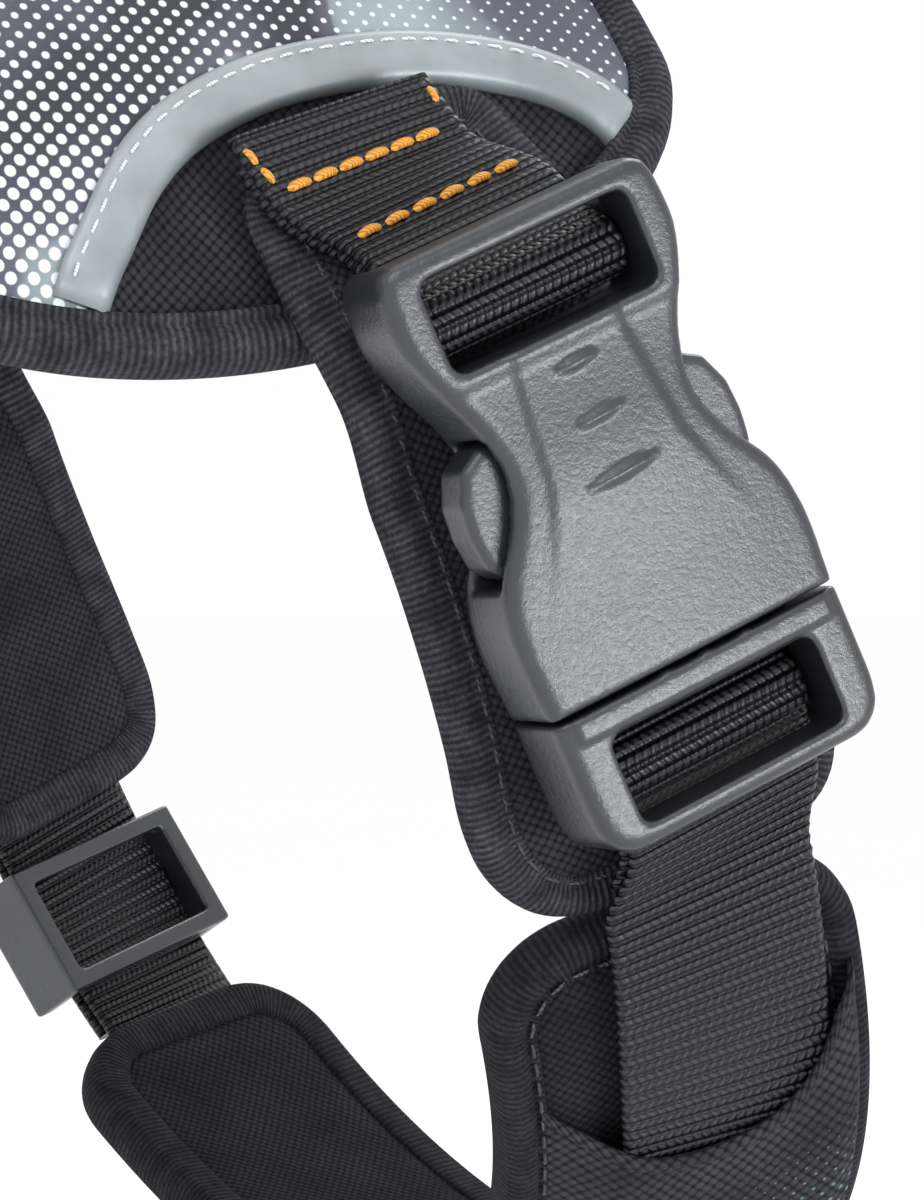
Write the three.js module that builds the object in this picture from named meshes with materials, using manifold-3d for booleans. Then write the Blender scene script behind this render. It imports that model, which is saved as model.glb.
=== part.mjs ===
// A safety harness vest for a medium dog: a quilted saddle, a chest loop and a belly band that closes
// on the wearer's left with a side-release buckle and turns about a strap loop on the right.
// Millimetres. +X points to the wearer's tail, +Y to its right, +Z up.
// The origin is on the spine line of the saddle's inner face, straight above the buckle's mouth.
import * as THREE from "three";
import { mergeVertices } from "three/addons/utils/BufferGeometryUtils.js";
import Module from "manifold-3d";

const wasm = await Module();
wasm.setup();

// ---------- driving dimensions ----------
const torso = {
  halfWidth: 79, // at the buckle
  taper: 0.2, // half width lost for each millimetre towards the head
  backHeight: 100, // spine to the widest level
  bellyHeight: 82, // widest level to the belly line
  unroll: 90, // radius that turns flat pattern lengths into angles
};
const layers = {
  lining: 0.8,
  foam: 2.2,
  cover: 0.8,
  print: 0.7,
  trim: 0.6,
  gap: 0.5,
};
const saddle = {
  rear: 20,
  front: -106,
  frontLobe: -116,
  depth: 115.5, // spine to the lower edge, measured round the flank
};
const binding = { width: 5.5, wrap: 0.5 };
const arch = { left: -52, right: 9, crown: 83.4, trimWidth: 4.8 };
const webbing = { width: 24.6, thickness: 1.7, play: 0.3 };
const buckle = {
  standOff: 14, // torso to the middle of the buckle's thickness, at the mouth
  slant: 25, // degrees that the belly band leans towards the tail
  yaw: 8, // degrees that the buckle turns towards the shoulder
  rail: 5.15, // from the strap's window to the buckle's side
  thickness: 12.5,
  wall: 2,
  length: 50, // female half, mouth to end bar
  latchLength: 16.5, // male half, seam to end bar
  waistIn: 6.3, // how far the sides pull in at the waist
  waistAt: 25.5,
  seam: 0.8,
};
const guard = {
  width: 41,
  belowCrown: 6.833, // the top edge is sewn in this far below the arch's crown
  edgeRise: 5.284, // the saddle's edge has risen this much where it crosses the guards
  bottom: 28.2,
  thickness: 3.8,
  thin: 1, // at the edge that is sewn into the arch
  sewn: 2.5,
  corner: 12,
};
const bellyPad = { margin: 9.7, shift: -5, length: 190, foam: 3, corner: 12 };
const sleeve = { mouth: 57, length: 150, wall: 1 };
const loopFrame = { height: 15, bar: 1.8, rail: 3.2, thickness: 4.4 };
const slider = { height: 19, bar: 2.6, rail: 3, chestPlay: 0.9, bellyPlay: 1.5 };
const handle = { span: 64, rise: 30, middle: -62, foot: 12 };
const grip = { span: 36, width: 31, wall: 2.4 };
const leashRing = { at: -2, width: 34, depth: 27, stock: 4.2, lift: 3 };
const chest = { halfWidth: 46, reach: 104, back: -98, drop: -36, pitch: 34, unroll: 76 };
const chestPad = { length: 100, width: 46, foam: 3.4, corner: 16 };
const chestRing = { width: 30, depth: 24, stock: 3.8 };
const patch = 11; // longest facet of a curved cloth, measured round the body

// ---------- small tools ----------
const radians = THREE.MathUtils.degToRad;
const mix = THREE.MathUtils.lerp;
const ease = (value, from, to) => THREE.MathUtils.smoothstep(value, from, to);
const vec = (x, y, z) => new THREE.Vector3(x, y, z);

function asSolid(geometry) {
  const bare = new THREE.BufferGeometry().setAttribute("position", geometry.getAttribute("position"));
  if (geometry.index) bare.setIndex(geometry.index);
  const merged = mergeVertices(bare, 1e-4);
  return new wasm.Manifold(
    new wasm.Mesh({
      numProp: 3,
      vertProperties: merged.attributes.position.array,
      triVerts: new Uint32Array(merged.index.array),
    }),
  );
}

function asGeometry(solid) {
  const mesh = solid.getMesh();
  return new THREE.BufferGeometry()
    .setAttribute("position", new THREE.BufferAttribute(new Float32Array(mesh.vertProperties), 3))
    .setIndex(new THREE.BufferAttribute(new Uint32Array(mesh.triVerts), 1));
}

const cut = (body, ...tools) =>
  asGeometry(tools.reduce((left, tool) => left.subtract(asSolid(tool)), asSolid(body)));
const join = (body, ...others) =>
  asGeometry(others.reduce((sum, other) => sum.add(asSolid(other)), asSolid(body)));
const common = (one, other) => asGeometry(asSolid(one).intersect(asSolid(other)));

function shapeOf(points, holes = []) {
  const shape = new THREE.Shape(points.map(([u, v]) => new THREE.Vector2(u, v)));
  for (const hole of holes)
    shape.holes.push(new THREE.Path(hole.map(([u, v]) => new THREE.Vector2(u, v))));
  return shape;
}

// A flat outline with a thickness, lying in XY.
function plate(points, from, to, holes = []) {
  const geometry = new THREE.ExtrudeGeometry(shapeOf(points, holes), {
    depth: to - from,
    bevelEnabled: false,
  });
  return geometry.translate(0, 0, from);
}

// A box with its faces exactly on the given coordinates.
function block(x0, x1, y0, y1, z0, z1) {
  const geometry = new THREE.BoxGeometry(2, 2, 2);
  const position = geometry.getAttribute("position");
  for (let i = 0; i < position.count; i++)
    position.setXYZ(
      i,
      position.getX(i) < 0 ? x0 : x1,
      position.getY(i) < 0 ? y0 : y1,
      position.getZ(i) < 0 ? z0 : z1,
    );
  return geometry;
}

function spline(points, count, closed = false) {
  const curve = new THREE.CatmullRomCurve3(
    points.map(([u, v]) => vec(u, v, 0)),
    closed,
    "centripetal",
  );
  const list = curve.getSpacedPoints(count).map((p) => [p.x, p.y]);
  return closed ? list.slice(0, -1) : list;
}

// Points of a polyline moved sideways, to the left of its direction.
function aside(points, distance, closed = false) {
  const last = points.length - 1;
  return points.map(([u, v], i) => {
    const before = points[i > 0 ? i - 1 : closed ? last : 0];
    const after = points[i < last ? i + 1 : closed ? 0 : last];
    const length = Math.hypot(after[0] - before[0], after[1] - before[1]);
    const across = [(before[1] - after[1]) / length, (after[0] - before[0]) / length];
    return [u + across[0] * distance, v + across[1] * distance];
  });
}

function areaOf(points) {
  return points.reduce((sum, [u, v], i) => {
    const [nextU, nextV] = points[(i + 1) % points.length];
    return sum + (u * nextV - nextU * v) / 2;
  }, 0);
}

// A closed outline moved inwards.
const inset = (points, distance) => aside(points, distance * Math.sign(areaOf(points)), true);

// The outline of a strip along a centre line.
const band = (centre, thickness) => [
  ...aside(centre, thickness / 2),
  ...aside(centre, -thickness / 2).reverse(),
];

function arc(centreU, centreV, radius, from, to, steps) {
  return Array.from({ length: steps + 1 }, (_, i) => {
    const angle = radians(mix(from, to, i / steps));
    return [centreU + radius * Math.cos(angle), centreV + radius * Math.sin(angle)];
  });
}

const roundedBox = (u0, u1, v0, v1, radius, steps = 4) => [
  ...arc(u1 - radius, v1 - radius, radius, 0, 90, steps),
  ...arc(u0 + radius, v1 - radius, radius, 90, 180, steps),
  ...arc(u0 + radius, v0 + radius, radius, 180, 270, steps),
  ...arc(u1 - radius, v0 + radius, radius, 270, 360, steps),
];

// Cuts a solid into cells along the given axes, so that it can bend smoothly, and keeps it one solid.
// facets maps an axis number to the longest cell on that axis.
function sliced(geometry, facets) {
  const solid = asSolid(geometry);
  const { min, max } = solid.boundingBox();
  const cuts = Object.entries(facets).map(([axis, facet]) => {
    const count = 2 * Math.floor((max[axis] - min[axis]) / facet / 2) + 1;
    const edgeAt = (_, i) => Math.fround(mix(min[axis], max[axis], i / count));
    const edges = Array.from({ length: count + 1 }, edgeAt);
    return { axis: Number(axis), edges };
  });
  const cells = cuts.reduce(
    (pieces, { axis, edges }) =>
      pieces.flatMap((piece) => edges.slice(1).map((edge, i) => piece.intersect(slabOf(axis, edges, i)))),
    [solid],
  );
  const cornersOf = (cell) => Array.from(asGeometry(cell).toNonIndexed().getAttribute("position").array);
  const points = welded(cells.flatMap(cornersOf));
  const kept = [];
  for (let i = 0; i < points.length; i += 9) {
    const triangle = points.slice(i, i + 9);
    if (!cuts.some((lines) => liesOnCut(triangle, lines))) kept.push(triangle);
  }
  const closed = [...kept, ...slivers(kept)].flat();
  return new THREE.BufferGeometry().setAttribute("position", new THREE.Float32BufferAttribute(closed, 3));
}

// Where one cell has a point on a cut line and its neighbour has none, a flat triangle closes the seam.
function slivers(triangles) {
  const open = new Map();
  for (const triangle of triangles) {
    const corners = [0, 3, 6].map((i) => triangle.slice(i, i + 3));
    corners.forEach((a, i) => {
      const b = corners[(i + 1) % 3];
      if (!open.delete(b + "/" + a)) open.set(a + "/" + b, [a, b]);
    });
  }
  const made = [];
  for (const [a, b] of [...open.values()]) {
    if (!open.has(a + "/" + b)) continue;
    const third = [...open.values()].find(([from, to]) => "" + from === "" + b && open.has(to + "/" + a));
    if (!third) continue;
    const c = third[1];
    made.push([...a, ...c, ...b]);
    for (const edge of [a + "/" + b, b + "/" + c, c + "/" + a]) open.delete(edge);
  }
  return made;
}

function slabOf(axis, edges, i) {
  const far = 900;
  const low = [-far, -far, -far];
  const high = [far, far, far];
  if (i > 0) low[axis] = edges[i];
  if (i < edges.length - 2) high[axis] = edges[i + 1];
  return asSolid(block(low[0], high[0], low[1], high[1], low[2], high[2]));
}

const liesOnCut = (triangle, { axis, edges }) =>
  edges.slice(1, -1).some((edge) => [0, 3, 6].every((k) => Math.abs(triangle[k + axis] - edge) < 1e-4));

// Points closer than a thousandth of a millimetre become one point.
function welded(list) {
  const known = [];
  for (let i = 0; i < list.length; i += 3) {
    const near = known.find((k) => [0, 1, 2].every((j) => Math.abs(list[k + j] - list[i + j]) < 1e-3));
    if (near === undefined) known.push(i);
    else for (let j = 0; j < 3; j++) list[i + j] = list[near + j];
  }
  return list;
}

// Moves every point with place, and turns the faces outwards.
const bend = (geometry, place, facet = patch, wide = 34) =>
  moved(sliced(geometry, { 0: wide, 1: facet }), place);

function moved(geometry, place) {
  const bare = geometry.index ? geometry.toNonIndexed() : geometry.clone();
  bare.deleteAttribute("normal");
  bare.deleteAttribute("uv");
  const position = bare.getAttribute("position");
  for (let i = 0; i < position.count; i++) {
    const p = place(position.getX(i), position.getY(i), position.getZ(i));
    position.setXYZ(i, p.x, p.y, p.z);
  }
  const merged = mergeVertices(bare, 1e-4);
  return volumeOf(merged) < 0 ? flipped(merged) : merged;
}

function volumeOf(geometry) {
  const [a, b, c] = [vec(0, 0, 0), vec(0, 0, 0), vec(0, 0, 0)];
  const { position } = geometry.attributes;
  let sum = 0;
  for (let i = 0; i < geometry.index.count; i += 3) {
    a.fromBufferAttribute(position, geometry.index.getX(i));
    b.fromBufferAttribute(position, geometry.index.getX(i + 1));
    c.fromBufferAttribute(position, geometry.index.getX(i + 2));
    sum += a.dot(b.cross(c)) / 6;
  }
  return sum;
}

function flipped(geometry) {
  const { array } = geometry.index;
  for (let i = 0; i < array.length; i += 3) [array[i + 1], array[i + 2]] = [array[i + 2], array[i + 1]];
  return geometry;
}

// ---------- the body that the vest is cut for ----------
const widestLevel = -torso.backHeight;
const halfWidthAt = (x) => torso.halfWidth + torso.taper * x;
const heightAt = (z) => (z > widestLevel ? torso.backHeight : torso.bellyHeight);

function skinNormal(p) {
  const a = halfWidthAt(p.x);
  const b = heightAt(p.z);
  return vec((-p.y * p.y * torso.taper) / a ** 3, p.y / a ** 2, (p.z - widestLevel) / b ** 2).normalize();
}

// x along the spine, s round the body from the spine to the left, h outwards.
function onTorso(x, s, h) {
  const angle = s / torso.unroll;
  const height = Math.cos(angle) > 0 ? torso.backHeight : torso.bellyHeight;
  const p = vec(x, -halfWidthAt(x) * Math.sin(angle), widestLevel + height * Math.cos(angle));
  return p.addScaledVector(skinNormal(p), h);
}

// The belly band's plane: across is its width direction, down runs along it on the left flank.
const slant = radians(buckle.slant);
const across = vec(Math.cos(slant), 0, Math.sin(slant));
const down = vec(Math.sin(slant), 0, -Math.cos(slant));
const halfTurn = Math.PI * torso.unroll;

// Moves a point straight towards or away from the torso's long axis until it lies on the torso.
function settled(p) {
  const reach = Math.hypot(p.y / halfWidthAt(p.x), (p.z - widestLevel) / heightAt(p.z));
  return vec(p.x, p.y / reach, widestLevel + (p.z - widestLevel) / reach);
}

// w across the band, t round it from the widest level on the left, down and under the belly.
function onHoop(w, t, h) {
  const angle = t / torso.unroll;
  const ray = vec(0, -Math.cos(angle), 0).addScaledVector(down, Math.sin(angle));
  const centre = vec(0, 0, widestLevel);
  let reach = torso.halfWidth;
  for (let i = 0; i < 24; i++) {
    const p = centre.clone().addScaledVector(ray, reach);
    reach /= Math.hypot(p.y / halfWidthAt(p.x), (p.z - widestLevel) / heightAt(p.z));
  }
  const onLine = centre.addScaledVector(ray, reach);
  const normal = skinNormal(onLine);
  const side = across.clone().addScaledVector(normal, -normal.dot(across)).normalize();
  const p = settled(onLine.addScaledVector(side, w));
  return p.addScaledVector(skinNormal(p), h);
}
const onRightHoop = (w, t, h) => onHoop(w, halfTurn - t, h);

// The chest loop: w up across it, t round it from the left shoulder to the breastbone, h outwards.
const chestAhead = vec(-Math.cos(radians(chest.pitch)), 0, -Math.sin(radians(chest.pitch)));
const chestUp = vec(-Math.sin(radians(chest.pitch)), 0, Math.cos(radians(chest.pitch)));
const chestMiddle = (chest.unroll * Math.PI) / 2;
function onChest(w, t, h) {
  const angle = t / chest.unroll;
  return vec(chest.back, 0, chest.drop)
    .add(vec(0, -(chest.halfWidth + h) * Math.cos(angle), 0))
    .addScaledVector(chestAhead, (chest.reach + h) * Math.sin(angle))
    .addScaledVector(chestUp, w);
}

// The buckle's own frame: X across, Y up to the saddle from the mouth's seam, Z outwards.
const yaw = radians(buckle.yaw);
const level = vec(Math.cos(yaw), -Math.sin(yaw), 0);
const buckleAcross = level.clone().multiplyScalar(Math.cos(slant)).add(vec(0, 0, Math.sin(slant)));
const buckleUp = level.clone().multiplyScalar(-Math.sin(slant)).add(vec(0, 0, Math.cos(slant)));
const buckleOut = buckleAcross.clone().cross(buckleUp);
const mouth = vec(0, -(torso.halfWidth + buckle.standOff), widestLevel);
const inBuckle = (x, y, z) =>
  mouth.clone().addScaledVector(buckleAcross, x).addScaledVector(buckleUp, y).addScaledVector(buckleOut, z);

// The right-hand strap loop's frame: X across, Y up the flank from the lower bar, Z outwards.
const sideOut = vec(0, 1, 0);
const sideUp = down.clone().negate();
const sideHeight = 11.4; // torso to the middle of the frame's bars
const sideBar = onHoop(0, halfTurn, sideHeight);
const inSideLoop = (x, y, z) =>
  sideBar.clone().addScaledVector(across, x).addScaledVector(sideUp, y).addScaledVector(sideOut, z);

// ---------- heights of the layers above the torso ----------
const liningTop = layers.lining;
const foamFrom = liningTop + layers.gap;
const foamTop = foamFrom + layers.foam;
const coverFrom = foamTop + layers.gap;
const coverTop = coverFrom + layers.cover;
const printFrom = coverTop + layers.gap;
const printTop = printFrom + layers.print;
const trimFrom = printTop + layers.gap;
const trimTop = trimFrom + layers.trim;
const bindingTop = printTop + binding.wrap / 2;
// Along the belly band's hoop: where a line that far round the flank crosses it.
const hoopAt = (s) => {
  const rise = torso.backHeight / Math.tan(s / torso.unroll);
  return -torso.unroll * Math.atan(rise / (torso.halfWidth * Math.cos(slant)));
};
const saddleEdge = hoopAt(saddle.depth - guard.edgeRise);
const guardHead = hoopAt(arch.crown) + guard.belowCrown;
const offSaddle = (t) => ease(t, saddleEdge, saddleEdge + 15);
const guardFrom = (t) => mix(bindingTop + layers.gap + 0.3, binding.wrap + 0.4, offSaddle(t));
const guardThickness = (t) => {
  const sewn = mix(guard.thin, guard.sewn, ease(t, guardHead + 4, guardHead + 12));
  return mix(sewn, guard.thickness, offSaddle(t));
};
const guardTop = (t) => guardFrom(t) + guardThickness(t);

// ---------- colours ----------
const look = (color, roughness = 0.9, metalness = 0) =>
  new THREE.MeshStandardMaterial({ color, roughness, metalness });
const finish = {
  mesh: look("#333136"),
  foam: look("#4a484d"),
  print: look("#8f959d"),
  binding: look("#454549"),
  reflective: look("#b5bcbe", 0.45),
  webbing: look("#35353b"),
  plastic: look("#5b5f63", 0.5),
  ring: look("#a9adb1", 0.3, 1),
  gripCover: look("#39383b"),
};

const vest = new THREE.Group();
function add(name, geometry, material) {
  const mesh = new THREE.Mesh(geometry, material);
  mesh.name = name;
  vest.add(mesh);
}

// ---------- saddle ----------
// The left half of the outline from the spine's rear end round to its front end.
const flank = saddle.depth;
const halfOutline = [
  [saddle.rear, 0],
  [saddle.rear - 3, 34],
  [saddle.rear - 6, flank - 54],
  [saddle.rear - 4.5, flank - 41],
  [saddle.rear - 4, flank - 33],
  [saddle.rear - 8, flank - 24],
  [saddle.rear - 22, flank - 12],
  [saddle.rear - 46, flank - 3],
  [saddle.rear - 68, flank],
  [saddle.rear - 88, flank - 2],
  [saddle.frontLobe + 14, flank - 14],
  [saddle.frontLobe, flank - 34],
  [saddle.frontLobe + 5, flank - 56],
  [saddle.front + 4, 38],
  [saddle.front, 0],
];
const fullOutline = [
  ...halfOutline,
  ...halfOutline
    .slice(1, -1)
    .reverse()
    .map(([x, s]) => [x, -s]),
];
const saddleOutline = spline(fullOutline, 84, true);
const saddleField = inset(saddleOutline, binding.width + layers.gap);

// The arch is a cut-out in the printed layer, open at the saddle's lower edge.
const archSpan = arch.right - arch.left;
const archEdge = spline(
  [
    [arch.left - 4, flank + 6],
    [arch.left + 0.5, arch.crown + 22],
    [arch.left + 0.13 * archSpan, arch.crown + 11],
    [arch.left + 0.35 * archSpan, arch.crown + 3],
    [arch.left + 0.64 * archSpan, arch.crown],
    [arch.left + 0.88 * archSpan, arch.crown + 3],
    [arch.right, arch.crown + 9],
    [arch.right + 6, arch.crown + 18],
  ],
  26,
);
const archTrimEdge = aside(archEdge, -arch.trimWidth);
const below = flank + 30;
const closeBelow = (edge) => [...edge, [edge.at(-1)[0] + 4, below], [edge[0][0] - 4, below]];
const acrossSpine = (points) => points.map(([x, s]) => [x, -s]).reverse();

for (const [name, from, to, material] of [
  ["saddle_mesh_lining", 0, liningTop, finish.mesh],
  ["saddle_foam_core", foamFrom, foamTop, finish.foam],
  ["saddle_mesh_cover", coverFrom, coverTop, finish.mesh],
])
  add(name, bend(plate(saddleField, from, to), onTorso), material);

const archHole = plate(closeBelow(archEdge), printFrom - 1, trimTop + 1);
const archHoleRight = plate(acrossSpine(closeBelow(archEdge)), printFrom - 1, trimTop + 1);
add(
  "saddle_print_panel",
  bend(cut(plate(saddleField, printFrom, printTop), archHole, archHoleRight), onTorso),
  finish.print,
);
add(
  "saddle_edge_binding",
  bend(
    plate(saddleOutline, -binding.wrap, bindingTop, [inset(saddleOutline, binding.width)]),
    onTorso,
  ),
  finish.binding,
);
for (const [side, flip] of [
  ["left", (points) => points],
  ["right", acrossSpine],
]) {
  const outer = plate(flip(closeBelow(archTrimEdge)), trimFrom, trimTop);
  const ribbon = cut(outer, side === "left" ? archHole : archHoleRight);
  const trimmed = common(ribbon, plate(saddleField, 0, trimTop + 1));
  add("reflective_trim_" + side, bend(trimmed, onTorso), finish.reflective);
}

// ---------- guards behind the buckle and the strap loop ----------
const guardOutline = roundedBox(-guard.width / 2, guard.width / 2, guardHead, guard.bottom, guard.corner);
for (const [side, hoop] of [
  ["left", onHoop],
  ["right", onRightHoop],
]) {
  const place = (from, to) => (w, t, k) => hoop(w, t, mix(from(t), to(t), k));
  add(
    "guard_pad_" + side,
    bend(plate(inset(guardOutline, binding.width + layers.gap), 0, 1), place(guardFrom, guardTop), 7, 16),
    finish.mesh,
  );
  add(
    "guard_binding_" + side,
    bend(
      plate(guardOutline, 0, 1, [inset(guardOutline, binding.width)]),
      place((t) => guardFrom(t) - 0.2, (t) => guardTop(t) + 0.2),
      7,
      16,
    ),
    finish.binding,
  );
}

// ---------- webbing that turns round a bar and comes back ----------
// The band is drawn as d along the strap from the bar and e outwards, then placed in space.
const twoLayers = webbing.thickness + webbing.play;
const layerAt = twoLayers / 2;
function barLoop(bar, frontEnd, backEnd) {
  const radius = bar + webbing.play + webbing.thickness / 2;
  const start = 4.5;
  const turn = arc(0, 0, radius, 50, 310, 12);
  return [[frontEnd, layerAt], [start, layerAt], ...turn, [start, -layerAt], [backEnd, -layerAt]];
}

function loopedStrap(path, place) {
  const flat = plate(band(path, webbing.thickness), -webbing.width / 2, webbing.width / 2);
  return moved(sliced(flat, { 0: 6, 2: 9 }), (d, e, x) => place(x, d, e));
}

// Leaves a bar of the buckle at an angle and settles on the body where the strap is sewn.
function offBar(frameOf, barY, barZ, sign, lean, joinAt, onBody) {
  const [cosine, sine] = [Math.cos(radians(lean)), Math.sin(radians(lean))];
  return (x, d, e) => {
    const near = frameOf(x, barY + sign * (d * cosine + e * sine), barZ - d * sine + e * cosine);
    return near.lerp(onBody(x, Math.max(d, 0), e), ease(d, 9, joinAt));
  };
}

const barRadius = 1.75;
const housingBar = { y: 42, z: -1 };
const latchBar = { y: -9.2, z: -1.8 };
const endBarBack = -0.6; // the end bars are cut away behind this, so the strap can pass
const barOnHoop = -39.2; // the housing's bar, along the hoop
const tab = { lean: 40, past: 4.55, slope: 0.95, drift: -3.4, twist: 0.13 };
const tabLength = (barOnHoop - guardHead + tab.past) / tab.slope; // it ends past the guard's head
const tabJoin = tabLength - 9;
add(
  "tab_webbing_left",
  loopedStrap(
    barLoop(barRadius, tabLength, tabLength - 3),
    offBar(inBuckle, housingBar.y, housingBar.z, 1, tab.lean, tabJoin, (x, d, e) => {
      const t = barOnHoop - tab.slope * d;
      const settle = ease(d, 0, tabLength);
      const rest = guardTop(t) + layers.gap + twoLayers + e;
      return onHoop(x + tab.drift * settle, t + tab.twist * x * settle, rest);
    }),
  ),
  finish.webbing,
);

// ---------- side-release buckle: the socket half ----------
const { waistAt, thickness, wall } = buckle;
const strapGap = webbing.width / 2 + 0.55;
const half = strapGap + buckle.rail;
const waist = half - buckle.waistIn;
const shoulder = buckle.length - 2;
const rightSide = spline(
  [
    [half, 0],
    [half + 0.2, 9],
    [half - 1.2, 14.5],
    [waist + 1.6, 20.5],
    [waist, waistAt],
    [waist + 1, waistAt + 5],
    [half - 2.4, 38],
    [half - 0.9, 43],
    [half - 1.2, shoulder],
  ],
  22,
);
const mirrored = (points) => points.map(([x, y]) => [-x, y]).reverse();
const rightEdge = [...rightSide, [half - 3.2, buckle.length]];
const housingOutline = [...rightEdge, ...mirrored(rightEdge)];
const inner = thickness / 2 - wall;
const guideFrom = half - 4.6; // inner half width where the arms latch
const catchAt = 14.4;
const windowTop = 29.6;
const cavity = [
  [half - wall + 0.2, -1],
  [half - wall, 3],
  [guideFrom, catchAt - 3],
  [guideFrom, catchAt],
  [half + 6, catchAt],
  [half + 6, windowTop],
  [waist - 1.8, windowTop],
  [waist - 2.4, 31.5],
];
const endBarFrom = buckle.length - 2.6;
const strapWindow = [housingBar.y - 5.2, endBarFrom];
const barRod = (y, z) =>
  new THREE.CylinderGeometry(barRadius, barRadius, 2 * strapGap + 1.6, 16)
    .rotateZ(Math.PI / 2)
    .translate(0, y, z);
const backGap = strapGap + 1.2;
const backOpening = (from, to) => block(-backGap, backGap, from, to, -thickness, endBarBack);
const housing = join(
  cut(
    plate(housingOutline, -thickness / 2, thickness / 2),
    plate([...cavity, ...mirrored(cavity)], -inner, inner),
    block(-strapGap, strapGap, ...strapWindow, -thickness, thickness),
    backOpening(endBarFrom - 1, buckle.length + 1),
  ),
  barRod(housingBar.y, housingBar.z),
);
add("buckle_housing", moved(housing, inBuckle), finish.plastic);

// ---------- side-release buckle: the latch half ----------
const latchTop = -buckle.seam;
const latchEnd = -buckle.latchLength;
const latchSide = [
  [half, latchTop],
  [half, latchEnd + 5.5],
  ...arc(half - 4.8, latchEnd + 4.4, 4.4, -8, -90, 4),
];
const tongue = 2.4;
const latchFrame = join(
  cut(
    plate([...latchSide, ...mirrored(latchSide)], -thickness / 2, thickness / 2),
    block(-strapGap, strapGap, latchEnd + 2.4, latchBar.y + 5.1, -thickness, thickness),
    backOpening(latchEnd - 1, latchEnd + 4),
  ),
  barRod(latchBar.y, latchBar.z),
  block(-tongue, tongue, latchTop - 1, 29, -2.4, 2.4),
);
add("buckle_latch_frame", moved(latchFrame, inBuckle), finish.plastic);

// Each arm turns inwards at its root; the pad at its end shows in the housing's side window.
const armThickness = 2 * (inner - 0.75);
const armSide = [
  [half - 8.4, 0.2],
  [half - 5.6, 0.2],
  [half - 5.6, catchAt + 0.4],
  [guideFrom + 2.6, catchAt + 0.7],
  [half - 1.2, catchAt + 3.4],
  [half - 1.2, 25],
  [half - 3, 27.8],
  [half - 5.4, 28.9],
  [half - 8.4, 28.9],
  [half - 8.8, 20],
];
for (const [name, side] of [
  ["latch_arm_front", -1],
  ["latch_arm_rear", 1],
]) {
  const outline = side > 0 ? armSide : mirrored(armSide);
  add(name, moved(plate(outline, -armThickness / 2, armThickness / 2), inBuckle), finish.plastic);
}

// ---------- strap loop on the right, and the tab that holds it ----------
const frameRail = strapGap + loopFrame.rail;
const loopRod = (y) =>
  new THREE.CylinderGeometry(loopFrame.bar, loopFrame.bar, 2 * strapGap + 1, 16)
    .rotateZ(Math.PI / 2)
    .translate(0, y, 0);
const railBlock = (side) =>
  plate(
    roundedBox(
      side > 0 ? strapGap : -frameRail,
      side > 0 ? frameRail : -strapGap,
      -2.6,
      loopFrame.height + 2.6,
      1.4,
      2,
    ),
    -loopFrame.thickness / 2,
    loopFrame.thickness / 2,
  );
add(
  "side_loop_frame",
  moved(join(railBlock(1), railBlock(-1), loopRod(0), loopRod(loopFrame.height)), inSideLoop),
  finish.plastic,
);
const sideTab = { length: 56, join: 16 };
add(
  "tab_webbing_right",
  loopedStrap(
    barLoop(loopFrame.bar, sideTab.length, sideTab.length - 4),
    offBar(inSideLoop, loopFrame.height, 0, 1, 0, sideTab.join, (x, d, e) => {
      const t = -loopFrame.height - d;
      return onRightHoop(x, t, Math.max(guardTop(t) + layers.gap + twoLayers, sideHeight) + e);
    }),
  ),
  finish.webbing,
);

// ---------- belly band ----------
const strapHeight = 8; // torso to the middle of the doubled strap
const padTop = guard.bottom + 1.6;
const bellyWidth = webbing.width + 2 * bellyPad.margin;
const bellyEnd = padTop + bellyPad.length;
const bellyOutline = roundedBox(
  bellyPad.shift - bellyWidth / 2,
  bellyPad.shift + bellyWidth / 2,
  padTop,
  bellyEnd,
  bellyPad.corner,
);
const bellyField = inset(bellyOutline, binding.width + layers.gap);
const bellyFoamTop = foamFrom + bellyPad.foam;
const bellyCover = bellyFoamTop + layers.gap;
for (const [name, from, to, material] of [
  ["belly_pad_lining", 0, liningTop, finish.mesh],
  ["belly_pad_foam", foamFrom, bellyFoamTop, finish.foam],
  ["belly_pad_cover", bellyCover, bellyCover + layers.cover, finish.mesh],
])
  add(name, bend(plate(bellyField, from, to), onHoop, patch, 16), material);
add(
  "belly_pad_binding",
  bend(
    plate(bellyOutline, -binding.wrap, bellyCover + layers.cover + 0.2, [inset(bellyOutline, binding.width)]),
    onHoop,
    patch,
    16,
  ),
  finish.binding,
);

// One strap: from under the guard's edge, round the latch bar, through the sleeve and up to the loop.
const onLatchBar = 8.6; // the latch bar, along the hoop
const latchJoin = 20;
const latchLean = 17;
const leftEnd = offBar(inBuckle, latchBar.y, latchBar.z, -1, latchLean, latchJoin, (x, d, e) =>
  onHoop(x + 0.4, onLatchBar + d, strapHeight + e),
);
const rightEnd = offBar(inSideLoop, 0, 0, -1, 0, 18, (x, d, e) => onHoop(x, halfTurn - d, strapHeight + e));
const strapLength = halfTurn - onLatchBar;
const leftTail = 15;
const rightTail = 60;
const middle = strapLength / 2;
// The two ends lie at different heights, so each changes level before they meet under the belly.
const levelled = (place, start) => (x, d, e) => place(x, d, e + start * ease(d, rightTail, middle - 6));
const seamHalf = 3;
add(
  "belly_strap",
  join(
    loopedStrap(barLoop(barRadius, middle, leftTail), levelled(leftEnd, -layerAt)),
    loopedStrap(barLoop(loopFrame.bar, rightTail, middle), levelled(rightEnd, layerAt)),
    bend(
      block(
        -webbing.width / 2,
        webbing.width / 2,
        onLatchBar + middle - seamHalf,
        onLatchBar + middle + seamHalf,
        strapHeight - webbing.thickness / 2,
        strapHeight + webbing.thickness / 2,
      ),
      onHoop,
    ),
  ),
  finish.webbing,
);

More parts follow.
